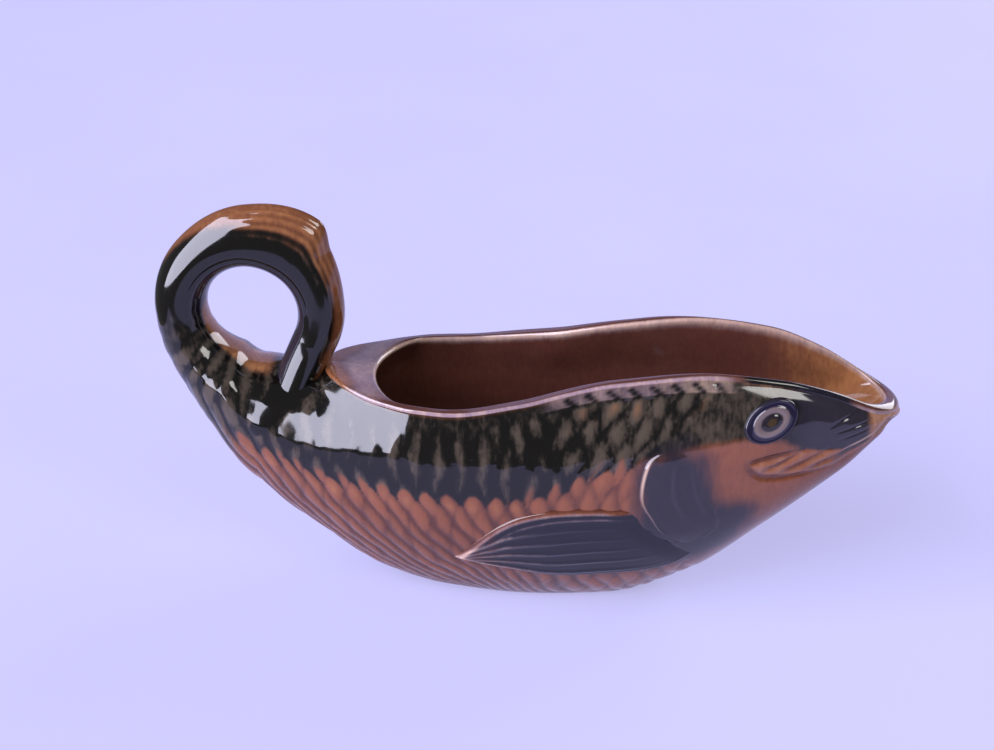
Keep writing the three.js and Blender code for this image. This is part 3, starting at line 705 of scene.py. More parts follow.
def skin(paths, shares, sizes):
    """Carved right flank with its glaze fields."""
    path, share = np.meshgrid(paths, shares, indexing="ij")
    bare = filled_flank(path, share)
    x, z = bare[..., 0], bare[..., 2]
    girth = girth_of(bare, shares)
    below_edge = girth[:, -1:] - girth
    scales, tone = scale_field(path, girth, sizes)
    tongue = np.where(path > -8, foot_tongue(bare), 0) * smooth(-8, 1, path)
    mask = scale_mask(path, below_edge, bare) * smooth(0.08, 0.01, tongue)
    strokes = edge_strokes(x, below_edge)
    folds, step, lips, shade_under_jaw, jaw_line = face_carving(bare)
    grooves = groove_depth(x, girth, below_edge, sizes) * (1 - scales) * mask
    lift = tongue + edge_carving(x, below_edge) - STROKE_DEPTH * strokes - folds - step - grooves
    lift = lift - lean_in(x, path, girth) + LIP_RISE * lips
    lift = lift - np.where(path < 0, tail_carving(path, share), 0)
    points = bare + outward(path, share) * lift[..., None]
    points[..., 2] = np.maximum(points[..., 2], 0)

    relief = np.clip(mix(0.5, scales, mask) + 0.3 * lips - 0.7 * folds - 0.1 * step, 0, 1)
    back, slate, amber = glaze_zones(bare, relief)
    back = back * (1 - lips)
    # Lighter glaze on the smooth head; on top of the snout the slate is lighter as a painted sheen
    on_head_and_sheen = HEAD_THIN * smooth(25, 45, x) * (1 - back) + 0.3 * slate * smooth(80, 95, x)
    on_head_and_sheen = on_head_and_sheen + 0.24 * back * between(40, 58, 76, 86, x)
    by_foot = 0.18 * mask * smooth(-55, -72, x) * smooth(54, 68, z)
    relief = np.clip(relief + (1 - mask) * on_head_and_sheen + by_foot, 0, 1)
    dark = np.maximum(smooth(0.01, 0.08, tongue), strokes)
    on_edge = smooth(DECK_RUN + 3, DECK_RUN + 16, path)
    # Pale band under the top edge: partly its own tan glaze, partly a painted reflection of the pale
    # surroundings on its rounded shoulder
    pale = smooth(EDGE_BAND, 3.3, below_edge) * on_edge * between(0, 14, 62, 74, x) * (1 - strokes)
    thin = smooth(1.4, 0.4, below_edge) * on_edge * smooth(96, 80, x)
    ochre = mask * relief * smooth(17, 8, below_edge) * smooth(-2, 26, x) * smooth(-0.3, 0.5, tone)
    top_row = crest(-3, 4, z - curve(BACK_LINE)(x))
    tip = smooth(106, 113, x) * smooth(66, 70, z)
    lighter = 1.5 * smooth(0, 35, x) - 0.6 * smooth(-4, -24, girth)
    fields = {
        "relief": mix(relief, 0.2, dark),
        "back": np.maximum(back, dark),
        # Slate is also painted under the upper jaw as shade
        "slate": np.maximum(slate * (1 - 0.8 * lips), shade_under_jaw),
        "amber": np.maximum.reduce([amber, 0.35 * thin, 0.5 * ochre, 0.45 * mask * top_row * scales**2]),
        "edge": np.maximum.reduce([0.42 * pale, 0.55 * jaw_line, 0.35 * tip, 0.25 * lips]),
        "tone": mask * (1.3 * (tone - 0.5) + 0.7 * top_row + 0.6 * smooth(16, 5, below_edge) + lighter),
        "clay": smooth(0.5, 0.1, z),
    }
    return points, fields, path, share


def seam_normals(path, shares, sizes):
    """Points of one row of the carved skin and the directions straight out of it."""
    before, row, after = skin(np.array([path - SEAM_REACH, path, path + SEAM_REACH]), shares, sizes)[0]
    return row, unit(np.cross(after - before, np.gradient(row, axis=0)))


def body_paths(step):
    """Rows along the hull, closer together towards the snout."""
    nose = SNOUT_PATH - NOSE_RUN
    behind = np.linspace(0, DECK_RUN, int(DECK_RUN / step), endpoint=False)
    middle = np.linspace(DECK_RUN, nose, int((nose - DECK_RUN) / step), endpoint=False)
    front = nose + NOSE_RUN * np.sin(np.linspace(0, np.pi / 2, int(1.5 * NOSE_RUN / step)))
    return np.concatenate([behind, middle, front])


def open_station(path):
    share = (path - DECK_RUN) / (SNOUT_PATH - DECK_RUN)
    eased = np.where(share < OPENING_EASE, share**2 / (2 * OPENING_EASE), share - OPENING_EASE / 2)
    return eased / (1 - OPENING_EASE / 2)


def floor_height(x):
    keel = LOOP_Z - outer_at(x - LOOP_X)
    return FLOOR + (keel + np.hypot(keel, 2 * FLOOR_BLEND)) / 2


def cavity(station, share):
    """Inside of the boat: share 0 is the rim's inner edge, 1 the widest line, 2 the middle of the floor."""
    rim_x = mix(OPENING_BACK, OPENING_FRONT, station)
    wide_x = mix(OPENING_BACK - BACK_UNDERCUT, OPENING_FRONT - SPOUT_SLOPE / 2, station)
    floor_x = mix(OPENING_BACK - BACK_UNDERCUT / 3, OPENING_FRONT - SPOUT_SLOPE, station)
    ends = opening_ends(rim_x)
    beam = (beam_at(wide_x - LOOP_X) - WALL) * ends
    rim_half = (edge_plan(rim_x) - RIM_WIDTH) * ends
    rim_z = LOOP_Z - inner_at(rim_x - LOOP_X)
    wide_z = LOOP_Z - wide_at(wide_x - LOOP_X)
    floor_z = floor_height(floor_x)
    lean = np.radians(lean_at(rim_x - LOOP_X))
    rise = rim_z - wide_z
    reach = ARC * rise
    high = np.clip(share, 0, 1)
    low = np.clip(share - 1, 0, 1)
    half_high = cubic(rim_half, rim_half + reach * np.cos(lean) * ends, beam, beam, high)
    z_high = cubic(rim_z, rim_z - reach * np.sin(lean), wide_z + rise * ARC, wide_z, high)
    half_low = cubic(beam, beam, beam * ARC, 0, low)
    z_low = cubic(wide_z, mix(wide_z, floor_z, ARC), floor_z, floor_z, low)
    x_high = mix(wide_x, rim_x, (z_high - wide_z) / rise)
    x_low = mix(floor_x, wide_x, (z_low - floor_z) / (wide_z - floor_z))
    upper = share <= 1
    return np.stack([np.where(upper, x_high, x_low), -np.where(upper, half_high, half_low),
                     np.where(upper, z_high, z_low)], -1)


def rim_patch(paths, edge, sizes):
    """Rounded rim between the hull's top edge and the inside, which widens into the deck at the back."""
    t = 0.5 - 0.5 * np.cos(np.linspace(0, np.pi, RIM_POINTS))
    opening = cavity(open_station(paths), np.zeros(len(paths)))
    points = mix(edge[:, None], opening[:, None], t[None, :, None])
    width = np.linalg.norm(opening - edge, axis=-1)[:, None]
    from_outer, from_inner = t * width, (1 - t) * width
    corner = np.minimum(RIM_CORNER, width / 2)
    outer_corner = corner * mix(0.4, 1, smooth(-10, 40, paths + LOOP_X))[:, None]
    crown = round_end(from_outer, outer_corner) * round_end(from_inner, corner)
    points[..., 2] += sizes.rim_crown / MM * crown
    outer_line, inner_line = smooth(1.2, 0.3, from_outer), smooth(1.3, 0.3, from_inner)
    x = points[..., 0]
    head = between(58, 76, 98, 110, x) * smooth(2.6, 1.2, from_outer)
    deck = smooth(OPENING_BACK + 12, OPENING_BACK - 4, x)
    middle = between(-50, -30, 30, 60, x)
    corner_amber = deck * smooth(9, 3, from_outer) * smooth(-50, -60, x)
    spout_amber = (0.3 + 0.3 * outer_line) * smooth(92, 118, x) * (1 - head)
    # Tan lines along both edges of the rim, and mauve over the deck and the middle of the rim as a painted
    # reflection of the pale backdrop
    edge_lines_and_sheen = 0.7 * outer_line * (1 - head) + 0.62 * inner_line + 0.55 * deck + 0.15 * middle
    fields = {
        "relief": 0.45 + 0.25 * inner_line,
        "inside": 0.9 - 0.9 * head,
        "back": head,
        "slate": head * smooth(78, 92, x),
        "edge": np.clip(edge_lines_and_sheen, 0, 1) * (1 - corner_amber),
        "amber": np.clip(0.85 * corner_amber + spout_amber, 0, 1),
    }
    return Patch(points, fields)


def cavity_patch(paths):
    station, share = np.meshgrid(open_station(paths), np.linspace(0, 2, BOWL_POINTS), indexing="ij")
    points = cavity(station, share)
    spout = smooth(62, 116, points[..., 0])
    fields = {
        "relief": mix(0.55, 0.75, spout) - 0.25 * smooth(0.5, 1.6, share),
        "inside": np.ones(points.shape[:2]),
        "amber": 0.9 * spout * smooth(1.7, 0.5, share),
        "edge": 0.5 * smooth(0.1, 0.0, share),
    }
    return Patch(points, fields)


def tail_rows(step):
    last = turn_path(LAST_TURN)
    return np.linspace(last, 0, int(-last * 1.25 / step) + 1)


def tail_fields(path, share, fields):
    """Amber where the glaze runs thin: the tail's outer edge and the lower wall of the finger hole."""
    turn = tail_turn(path)
    rays = tail_rays(path, share)
    broad = mix(0.42, 0.72, smooth(130, 185, turn)) - 0.08 * smooth(215, 250, turn)
    fin_edge = smooth(broad + 0.1, broad - 0.35, share - 0.1 * rays) * between(95, 150, 290, 335, turn)
    hole = hole_wall(share) * smooth(112, 80, turn)
    bead = between(1.33, 1.42, 1.8, 1.95, share) * smooth(60, 120, turn)
    olive = smooth(broad + 0.4, broad, share) * smooth(95, 150, turn)
    # The bead round the finger hole is slate glaze, made lighter as a painted reflection of the pale cloth
    relief = 0.2 + (0.16 + 0.1 * olive) * rays + 0.55 * bead + 0.12 * olive
    tail = smooth(-30, -60, path)
    fields["amber"] = np.maximum.reduce([fields["amber"], fin_edge, hole])
    fields["slate"] = np.maximum(fields["slate"] * (1 - tail), 0.8 * bead)
    fields["back"] = np.maximum(fields["back"], smooth(4, -12, path))
    fields["relief"] = mix(fields["relief"], relief, tail)
    return fields


def tail_foot(first, half, step):
    """How far the tail's first row moves and widens on its way down to the deck, row by row."""
    turn = math.radians(LAST_TURN)
    down = np.array([-math.cos(turn), 0, math.sin(turn)])
    hole_edge = LOOP_Z - HOLE_RADIUS * math.cos(turn)
    run = (hole_edge - (LOOP_Z - inner_at(DECK_RUN)) + FOOT_SINK) / -down[2]
    t = np.linspace(1, 0, int(run / step), endpoint=False)
    widen = np.ones((len(t), 1, 3))
    widen[:, 0, 1] = 1 + FOOT_FLARE / half * t**2
    return first[None] * widen + down * (run * t)[:, None, None]


# Reliefs on the flanks

def relief_patches(behind, up, lift, fields, wrap=False):
    """Face and back of a relief on the right flank, closed along its border."""
    path = SNOUT_X - behind - LOOP_X
    share = flank_share(path, up)
    base, normal = skin_point(path, share), outward(path, share)
    face = base + normal * lift[..., None]
    back = base - normal * RELIEF_ROOT
    sides = [(face[:, -1], back[:, -1])]
    if not wrap:
        sides = [(face[:, 0], back[:, 0]), *sides, (face[0], back[0]), (face[-1], back[-1])]
    border = [Patch(np.stack(pair), {"relief": 0.3}) for pair in sides]
    return [Patch(face, fields), Patch(back, fields), *border]


def make_pair(name, patches, material, node_name):
    """The same relief on both flanks."""
    make_piece(f"right_{name}", patches, material, f"right_{node_name}")
    make_piece(f"left_{name}", [patch.mirrored() for patch in patches], material, f"left_{node_name}")


def relief_fields(behind, up, relief):
    """Glaze of the skin under a relief, so that both match."""
    x = SNOUT_X - behind
    z = LOOP_Z - wide_at(x - LOOP_X) + up
    back, slate, amber = glaze_zones(np.stack([x, 0 * x, z], -1), relief)
    relief = relief + HEAD_THIN * smooth(25, 45, x) * (1 - back)
    return {"relief": relief, "back": back, "slate": slate, "amber": amber}


# Glaze materials

def node(tree, kind, inputs=None, **settings):
    made = tree.nodes.new(kind)
    for key, value in settings.items():
        setattr(made, key, value)
    for key, value in (inputs or {}).items():
        put(tree, made.inputs[key], value)
    return made


def put(tree, socket, value):
    """Links a socket to another, or sets its value."""
    if isinstance(value, bpy.types.NodeSocket):
        tree.links.new(value, socket)
    else:
        socket.default_value = value


def math_node(tree, operation, *values, clamp=False):
    made = node(tree, "ShaderNodeMath", dict(enumerate(values)), operation=operation, use_clamp=clamp)
    return made.outputs[0]


def mix_colour(tree, factor, a, b, blend="MIX"):
    made = node(tree, "ShaderNodeMix", {0: factor}, data_type="RGBA", blend_type=blend)
    put(tree, made.inputs[6], a)
    put(tree, made.inputs[7], b)
    return made.outputs[2]


def map_range(tree, value, low, high, start=0.0, end=1.0, shape="LINEAR"):
    """Carries a value from the range low to high over to the range start to end."""
    inputs = {"Value": value, "From Min": low, "From Max": high, "To Min": start, "To Max": end}
    return node(tree, "ShaderNodeMapRange", inputs, interpolation_type=shape).outputs[0]


def on_object(tree):
    return node(tree, "ShaderNodeTexCoord").outputs["Object"]


def noise(tree, where, scale, detail, roughness=0.5):
    inputs = {"Vector": where, "Scale": scale, "Detail": detail, "Roughness": roughness}
    return node(tree, "ShaderNodeTexNoise", inputs).outputs["Fac"]


def drawn_down(tree, where, height):
    """Coordinates that draw a noise out downwards."""
    return node(tree, "ShaderNodeMapping", {"Vector": where, "Scale": (1.0, 1.0, height)}).outputs[0]


def new_group(name, inputs, outputs):
    group = bpy.data.node_groups.new(name, "ShaderNodeTree")
    for label, kind, default in inputs:
        socket = group.interface.new_socket(label, in_out="INPUT", socket_type=kind)
        socket.default_value = default
    for label, kind in outputs:
        group.interface.new_socket(label, in_out="OUTPUT", socket_type=kind)
    entry = group.nodes.new("NodeGroupInput")
    leave = group.nodes.new("NodeGroupOutput")
    return group, entry, leave


FLOAT, COLOUR = "NodeSocketFloat", "NodeSocketColor"


def pooled_glaze_group():
    """Glaze that runs off the crests and pools in the hollows."""
    group, entry, leave = new_group(
        "Pooled Glaze",
        [("Relief", FLOAT, 0.5), ("Tone", FLOAT, 0.0), ("Deep", COLOUR, (0, 0, 0, 1)),
         ("Thin", COLOUR, (1, 1, 1, 1)), ("Mottle", FLOAT, 0.3), ("Low", FLOAT, 0.2), ("High", FLOAT, 1.0)],
        [("Color", COLOUR)],
    )
    given = entry.outputs
    where = on_object(group)
    cloud = noise(group, where, CLOUD_SCALE, 4.0, 0.6)
    runs = noise(group, drawn_down(group, where, 0.28), RUN_SCALE, 3.0)
    centred = math_node(group, "SUBTRACT", math_node(group, "ADD", cloud, runs), 1.0)
    moved = math_node(group, "MULTIPLY", centred, given["Mottle"])
    toned = math_node(group, "MULTIPLY_ADD", given["Tone"], TONE_WEIGHT, moved)
    height = math_node(group, "ADD", given["Relief"], toned)
    thin = map_range(group, height, given["Low"], given["High"], shape="SMOOTHSTEP")
    put(group, leave.inputs["Color"], mix_colour(group, thin, given["Deep"], given["Thin"]))
    return group


def flowing_edge_group():
    """Border between two glazes that melted into each other: fine fingers drawn downwards."""
    group, entry, leave = new_group(
        "Flowing Edge", [("Mask", FLOAT, 0.0), ("Spread", FLOAT, 0.3)], [("Mask", FLOAT)])
    runs = noise(group, drawn_down(group, on_object(group), 0.3), BORDER_SCALE, 3.0)
    centred = math_node(group, "SUBTRACT", runs, 0.5)
    moved = math_node(group, "MULTIPLY_ADD", centred, entry.outputs["Spread"], entry.outputs["Mask"])
    put(group, leave.inputs["Mask"], map_range(group, moved, 0.12, 0.88, shape="SMOOTHSTEP"))
    return group


def kiln_marks_group():
    """Fine specks, and the faint waviness and gloss changes of a fired glaze."""
    group, entry, leave = new_group(
        "Kiln Marks", [("Color", COLOUR, (1, 1, 1, 1)), ("Specks", FLOAT, 0.4)],
        [("Color", COLOUR), ("Roughness", FLOAT), ("Height", FLOAT)])
    where = on_object(group)
    grains = node(group, "ShaderNodeTexVoronoi", {"Vector": where, "Scale": SPECK_SCALE}).outputs
    dot = map_range(group, grains["Distance"], 0.1, 0.2, 1.0, 0.0)
    chance = node(group, "ShaderNodeSeparateColor", {"Color": grains["Color"]}).outputs[0]
    speck = math_node(group, "MULTIPLY", dot, math_node(group, "GREATER_THAN", chance, SPECK_RARITY))
    weight = math_node(group, "MULTIPLY", speck, entry.outputs["Specks"])
    waves = noise(group, where, WAVE_SCALE, 2.0)
    put(group, leave.inputs["Color"], mix_colour(group, weight, entry.outputs["Color"], SPECK_COLOUR))
    put(group, leave.inputs["Roughness"], map_range(group, waves, 0.3, 0.7, 0.05, 0.11))
    put(group, leave.inputs["Height"], waves)
    return group


shared_groups = {}


def place_group(tree, build, inputs):
    """Places the node group that build makes, which is made once."""
    if build.__name__ not in shared_groups:
        shared_groups[build.__name__] = build()
    return node(tree, "ShaderNodeGroup", inputs, node_tree=shared_groups[build.__name__])


def field(tree, name):
    return node(tree, "ShaderNodeAttribute", attribute_name=name).outputs["Fac"]


def rgba(colour):
    return (*colour, 1.0)


def finish_glaze(tree, colour, specks, bare=None):
    """Fired, glossy surface over a colour, with bare clay where the glaze was wiped off."""
    marks = place_group(tree, kiln_marks_group, {"Color": colour, "Specks": specks}).outputs
    gloss = marks["Roughness"]
    if bare:
        gloss = map_range(tree, bare, 0.0, 1.0, gloss, CLAY_ROUGHNESS)
    bump = node(tree, "ShaderNodeBump", {
        "Height": marks["Height"], "Strength": GLAZE_WAVE, "Distance": GLAZE_WAVE_DEPTH,
    })
    shader = node(tree, "ShaderNodeBsdfPrincipled", {
        "Base Color": marks["Color"], "Roughness": gloss, "Normal": bump.outputs["Normal"], "IOR": GLAZE_IOR,
    })
    node(tree, "ShaderNodeOutputMaterial", {"Surface": shader.outputs[0]})


def new_material(name):
    material = bpy.data.materials.new(name)
    material.use_nodes = True
    material.node_tree.nodes.clear()
    return material


def skin_colour(tree, glaze):
    """Colour of the fish's skin: belly, dark back, slate and thin amber edges, each over its own relief."""
    relief, tone = field(tree, "relief"), field(tree, "tone")

    def pooled(deep, thin, mottle, low=0.2, high=1.0):
        return place_group(tree, pooled_glaze_group, {
            "Relief": relief, "Tone": tone, "Deep": rgba(deep), "Thin": rgba(thin), "Mottle": mottle,
            "Low": low, "High": high,
        }).outputs["Color"]

    colour = pooled(glaze.belly_deep, glaze.belly_thin, 0.45, 0.05, 1.0)
    layers = [
        ("back", 0.5, pooled(glaze.back_deep, glaze.back_thin, 0.8, 0.42, 1.1)),
        ("slate", 0.5, pooled(glaze.slate_deep, glaze.slate_thin, 0.35)),
        ("inside", 0.15, pooled(glaze.inside_deep, glaze.inside_thin, 0.25)),
        ("amber", 0.45, pooled(glaze.amber_deep, glaze.amber_thin, 0.6)),
        ("edge", 0.3, pooled(glaze.edge_brown, glaze.edge_tan, 0.6)),
    ]
    for name, spread, layer in layers:
        edge = place_group(tree, flowing_edge_group, {"Mask": field(tree, name), "Spread": spread})
        colour = mix_colour(tree, edge.outputs["Mask"], colour, layer)
    return colour


def skin_glaze(name, glaze, specks):
    material = new_material(name)
    tree = material.node_tree
    bare = field(tree, "clay")
    colour = mix_colour(tree, bare, skin_colour(tree, glaze), rgba(glaze.clay))
    finish_glaze(tree, colour, specks, bare)
    return material


def eye_glaze(glaze):
    """Painted rings of the eye: slate ring, tan iris, dark pupil."""
    material = new_material("eye_glaze")
    tree = material.node_tree
    ramp = node(tree, "ShaderNodeValToRGB", {"Fac": field(tree, "tone")})
    stops = [
        (0.0, glaze.eye_spot), (0.13, glaze.eye_spot), (0.22, glaze.eye_dark), (0.36, glaze.eye_dark),
        (0.44, glaze.eye_iris), (0.62, glaze.eye_iris), (0.7, glaze.eye_ring), (0.89, glaze.eye_ring),
        (0.94, glaze.slate_thin), (1.0, glaze.slate_thin),
    ]
    elements = ramp.color_ramp.elements
    while len(elements) < len(stops):
        elements.new(1.0)
    for element, (position, colour) in zip(elements, stops):
        element.position = position
        element.color = rgba(colour)
    pooled = place_group(tree, pooled_glaze_group, {
        "Relief": field(tree, "relief"), "Deep": (0.35, 0.35, 0.4, 1), "Thin": (1, 1, 1, 1), "Mottle": 0.5,
    })
    colour = mix_colour(tree, 0.5, ramp.outputs["Color"], pooled.outputs["Color"], "MULTIPLY")
    finish_glaze(tree, colour, 0.2)
    return material


# Properties

def number(name, description, default, **limits):
    return bpy.props.FloatProperty(name=name, description=description, default=default, **limits)


def length(name, description, default):
    return number(name, description, default, unit="LENGTH", precision=5)


def power(name, description, default):
    return number(name, description, default, min=0, unit="POWER")


def share_of(name, description, default):
    return number(name, description, default, min=0, max=1, subtype="FACTOR")


def colour(name, description, default):
    return bpy.props.FloatVectorProperty(
        name=name, description=description, default=default, subtype="COLOR", size=3, min=0, max=1)


class BOAT_PG_sizes(bpy.types.PropertyGroup):
    """Sizes of the carving that a user would change."""
    scale_width: length("Scale width", "Width of a scale along the flank", 7.3 * MM)
    scale_row: length("Scale row", "Distance between two rows of scales", 8.4 * MM)
    scale_depth: length("Scale depth", "Depth of the grooves between scales", 0.6 * MM)
    rim_crown: length("Rim crown", "Height of the rounded rim over its edges", 1.3 * MM)
    mesh_step: length("Mesh step", "Spacing of the points on the carved skin", 0.7 * MM)


class BOAT_PG_glaze(bpy.types.PropertyGroup):
    """Colours of the glazes."""
    belly_thin: colour("Belly crest", "Orange glaze on the crests of the belly", (0.158, 0.05, 0.022))
    belly_deep: colour("Belly hollow", "Red-brown glaze in the hollows of the belly", (0.062, 0.019, 0.012))
    back_thin: colour("Back crest", "Olive glaze on the crests of the back", (0.05, 0.038, 0.027))
    back_deep: colour("Back hollow", "Near-black glaze in the hollows of the back", (0.003, 0.0025, 0.002))
    slate_thin: colour("Slate crest", "Slate glaze where it lies thin", (0.018, 0.0148, 0.0215))
    slate_deep: colour("Slate pool", "Navy glaze where it lies deep", (0.004, 0.0034, 0.0075))
    inside_thin: colour("Inside light", "Brown glaze inside the boat", (0.12, 0.04, 0.026))
    inside_deep: colour("Inside dark", "Chocolate glaze deep in the boat", (0.045, 0.015, 0.012))
    amber_thin: colour("Amber", "Amber glaze at thin edges", (0.27, 0.112, 0.043))
    amber_deep: colour("Dark amber", "Amber glaze where it lies deeper", (0.12, 0.042, 0.018))
    # The edge colours also paint the mauve reflection on the deck and rim and the pale band under the top
    # edge
    edge_tan: colour("Bare edge", "Tan clay that shows through at sharp edges", (0.46, 0.31, 0.23))
    edge_brown: colour("Veiled edge", "Tan clay under a thin veil of glaze", (0.19, 0.13, 0.16))
    clay: colour("Bare clay", "Unglazed clay under the foot", (0.5, 0.37, 0.26))
    eye_ring: colour("Eye ring", "Slate ring round the eye", (0.008, 0.006, 0.02))
    eye_iris: colour("Iris", "Tan ring of the eye", (0.115, 0.085, 0.085))
    eye_dark: colour("Pupil", "Dark pupil", (0.009, 0.007, 0.01))
    eye_spot: colour("Pupil spot", "Brown middle of the pupil", (0.035, 0.021, 0.01))


class BOAT_PG_stage(bpy.types.PropertyGroup):
    """Floor, light and camera."""
    floor_colour: colour("Floor", "Pale floor", (0.565, 0.55, 0.88))
    floor_even: share_of("Even floor", "How much of the floor shows its plain colour", 0.68)
    window_power: power("Window", "Power of the tall soft light", 375.0)
    front_power: power("Front light", "Power of the small front light", 5.5)
    back_power: power("Back light", "Power of the soft light behind the boat", 12.0)
    sky_level: share_of("Sky", "Level of the light from all round", 0.17)
    focal_pixels: number("Focal length", "Focal length in pixels of the photo", 1400.0, subtype="PIXEL")


class BOAT_PG_settings(bpy.types.PropertyGroup):
    """All settings of the boat."""
    sizes: bpy.props.PointerProperty(type=BOAT_PG_sizes)
    glaze: bpy.props.PointerProperty(type=BOAT_PG_glaze)
    stage: bpy.props.PointerProperty(type=BOAT_PG_stage)


# Operators

class BOAT_OT_body(bpy.types.Operator):
    """Build the hull with its scales, rim and inside"""
    bl_idname = "gravy_boat.body"
    bl_label = "Build Body"

    def execute(self, context):
        settings = context.scene.gravy_boat
        sizes = settings.sizes
        step = sizes.mesh_step / MM
        paths = body_paths(step)
        shares = hull_shares(step)
        points, fields, path, share = skin(paths, shares, sizes)
        fields["amber"] = np.maximum(fields["amber"], hole_wall(share) * smooth(9, 2, path))
        right = Patch(points, fields)
        opened = paths >= DECK_RUN
        rim = rim_patch(paths[opened], points[opened, -1], sizes)
        bowl = cavity_patch(paths[opened])
        caps = [Patch(end_cap(points[0]), {}), Patch(end_cap(points[-1]), {"amber": 1.0, "relief": 0.6})]
        patches = [right, right.mirrored(), rim, rim.mirrored(), bowl, bowl.mirrored(), *caps]
        material = skin_glaze("body_glaze", settings.glaze, 0.5)
        seam = seam_normals(0.0, shares, sizes)
        make_piece("fish_body", patches, material, "body_shell", seam)
        return {"FINISHED"}


class BOAT_OT_tail(bpy.types.Operator):
    """Build the tail that loops over as the handle"""
    bl_idname = "gravy_boat.tail"
    bl_label = "Build Tail"

    def execute(self, context):
        settings = context.scene.gravy_boat
        sizes = settings.sizes
        step = sizes.mesh_step / MM
        paths = tail_rows(step)
        shares = hull_shares(step)
        points, fields, path, share = skin(paths, shares, sizes)
        fields = tail_fields(path, share, fields)
        foot = tail_foot(points[0], beam_at(paths[0]), step)
        points = np.concatenate([foot, points])
        for name, values in fields.items():
            fields[name] = np.concatenate([np.repeat(values[:1], len(foot), axis=0), values])
        right = Patch(points, fields)
        caps = [Patch(end_cap(points[0]), {}), Patch(end_cap(points[-1]), {})]
        material = skin_glaze("tail_glaze", settings.glaze, 0.5)
        seam = seam_normals(0.0, shares, sizes)
        make_piece("fish_tail", [right, right.mirrored(), *caps], material, "tail_handle", seam)
        return {"FINISHED"}


class BOAT_OT_gills(bpy.types.Operator):
    """Build both gill covers"""
    bl_idname = "gravy_boat.gills"
    bl_label = "Build Gill Covers"

    def execute(self, context):
        t, across = unit_grid(*GILL_GRID)
        rear, front = spline(GILL_REAR, t), spline(GILL_FRONT, t)
        place = mix(rear, front, across[..., None])
        behind, up = place[..., 0], place[..., 1]
        width = np.linalg.norm(front - rear, axis=-1)
        from_rear, from_front = across * width, (1 - across) * width
        ridge_width = mix(0.7, 0.5, smooth(0.45, 0.9, t))
        ridge = crest(1.2, ridge_width, from_rear) * between(0.12, 0.35, 0.8, 1.0, t)
        arc = crest(0.5, 0.035, across) + 0.7 * crest(0.8, 0.035, across)
        arc = arc * between(0.2, 0.35, 0.6, 0.75, t)
        hem = crest(1.4, 0.7, from_front) * between(0.55, 0.7, 0.9, 0.98, t)
        ends = between(0, 0.28, 0.82, 1, t) * smooth(1, 0.75, across)
        swell = 0.7 * smooth(0, 1.8, from_rear) * smooth(1.0, 0.25, across)
        lift = (swell + 0.3 * ridge + 0.3 * arc) * ends + 0.2 * hem - 0.12
        fields = relief_fields(behind, up, np.clip(0.5 + 0.25 * ridge + 0.3 * arc + 0.3 * hem, 0, 1))
        bright = 0.25 + 0.35 * smooth(0.75, 0.35, t)
        fields["edge"] = np.clip(bright * ridge + 0.12 * arc + 0.12 * hem, 0, 1)
        patches = relief_patches(behind, up, lift, fields)
        material = skin_glaze("gill_glaze", context.scene.gravy_boat.glaze, 0.3)
        make_pair("gill", patches, material, "gill_cover")
        return {"FINISHED"}


class BOAT_OT_fins(bpy.types.Operator):
    """Build both pectoral fins with their rays"""
    bl_idname = "gravy_boat.fins"
    bl_label = "Build Fins"

    def execute(self, context):
        t, across = unit_grid(*FIN_GRID)
        upper, lower = spline(FIN_UPPER, t), spline(FIN_LOWER, t)
        place = mix(upper, lower, across[..., None])
        behind = place[..., 0] + FIN_ROOT_BEND * np.sin(np.pi * across) * (1 - t)**2
        up = place[..., 1]
        width = np.linalg.norm(lower - upper, axis=-1)
        top, bottom = across * width, (1 - across) * width
        ray_at = across * FIN_RAYS - 0.5
        from_ray = (ray_at - np.round(np.clip(ray_at, 0.6, FIN_RAYS - 1))) * width / FIN_RAYS
        ray = crest(0, 0.75, from_ray) * smooth(0.08, 0.5, t)
        band = crest(1.5, 0.9, top) + 0.8 * crest(4.2, 0.8, top) * smooth(0.9, 0.6, t)
        hem = crest(0.9, 0.7, bottom)
        border = round_end(top, 4) * round_end(bottom, 1.6) * smooth(0, 0.16, t) * round_end((1 - t) * 60, 2)
        lift = mix(1.1, 0.3, t) + 0.35 * ray + 0.2 * band * smooth(1.0, 0.8, t) + 0.15 * hem
        lift = mix(-0.15, lift, border)
        tan = 0.34 * ray * smooth(0.3, 0.75, t) + 0.42 * band * smooth(0.03, 0.2, t)
        tan = tan + 0.22 * hem * smooth(0.5, 0.75, t)
        fields = {
            "relief": np.clip(0.22 + 0.4 * ray * smooth(0.3, 0.7, t) + 0.35 * band, 0, 1),
            "slate": np.clip(0.95 * smooth(0.3, 2.6, top) - 0.3 * smooth(0.6, 0.95, t), 0, 1),
            "edge": np.clip(tan, 0, 1),
        }
        patches = relief_patches(behind, up, lift, fields)
        material = skin_glaze("fin_glaze", context.scene.gravy_boat.glaze, 0.3)
        make_pair("fin", patches, material, "pectoral_fin")
        return {"FINISHED"}


class BOAT_OT_eyes(bpy.types.Operator):
    """Build both eyes with their rings"""
    bl_idname = "gravy_boat.eyes"
    bl_label = "Build Eyes"

    def execute(self, context):
        turn, reach = unit_grid(*EYE_GRID)
        behind = EYE_BEHIND + np.cos(2 * np.pi * turn) * reach * EYE_LENGTH / 2
        up = EYE_UP + np.sin(2 * np.pi * turn) * reach * EYE_HEIGHT / 2
        lift = curve(EYE_PROFILE)(reach)
        fields = {"relief": np.clip(lift / EYE_PROFILE[0][1], 0, 1), "tone": reach}
        patches = relief_patches(behind, up, lift, fields, wrap=True)
        make_pair("eye_ball", patches, eye_glaze(context.scene.gravy_boat.glaze), "eye")
        return {"FINISHED"}


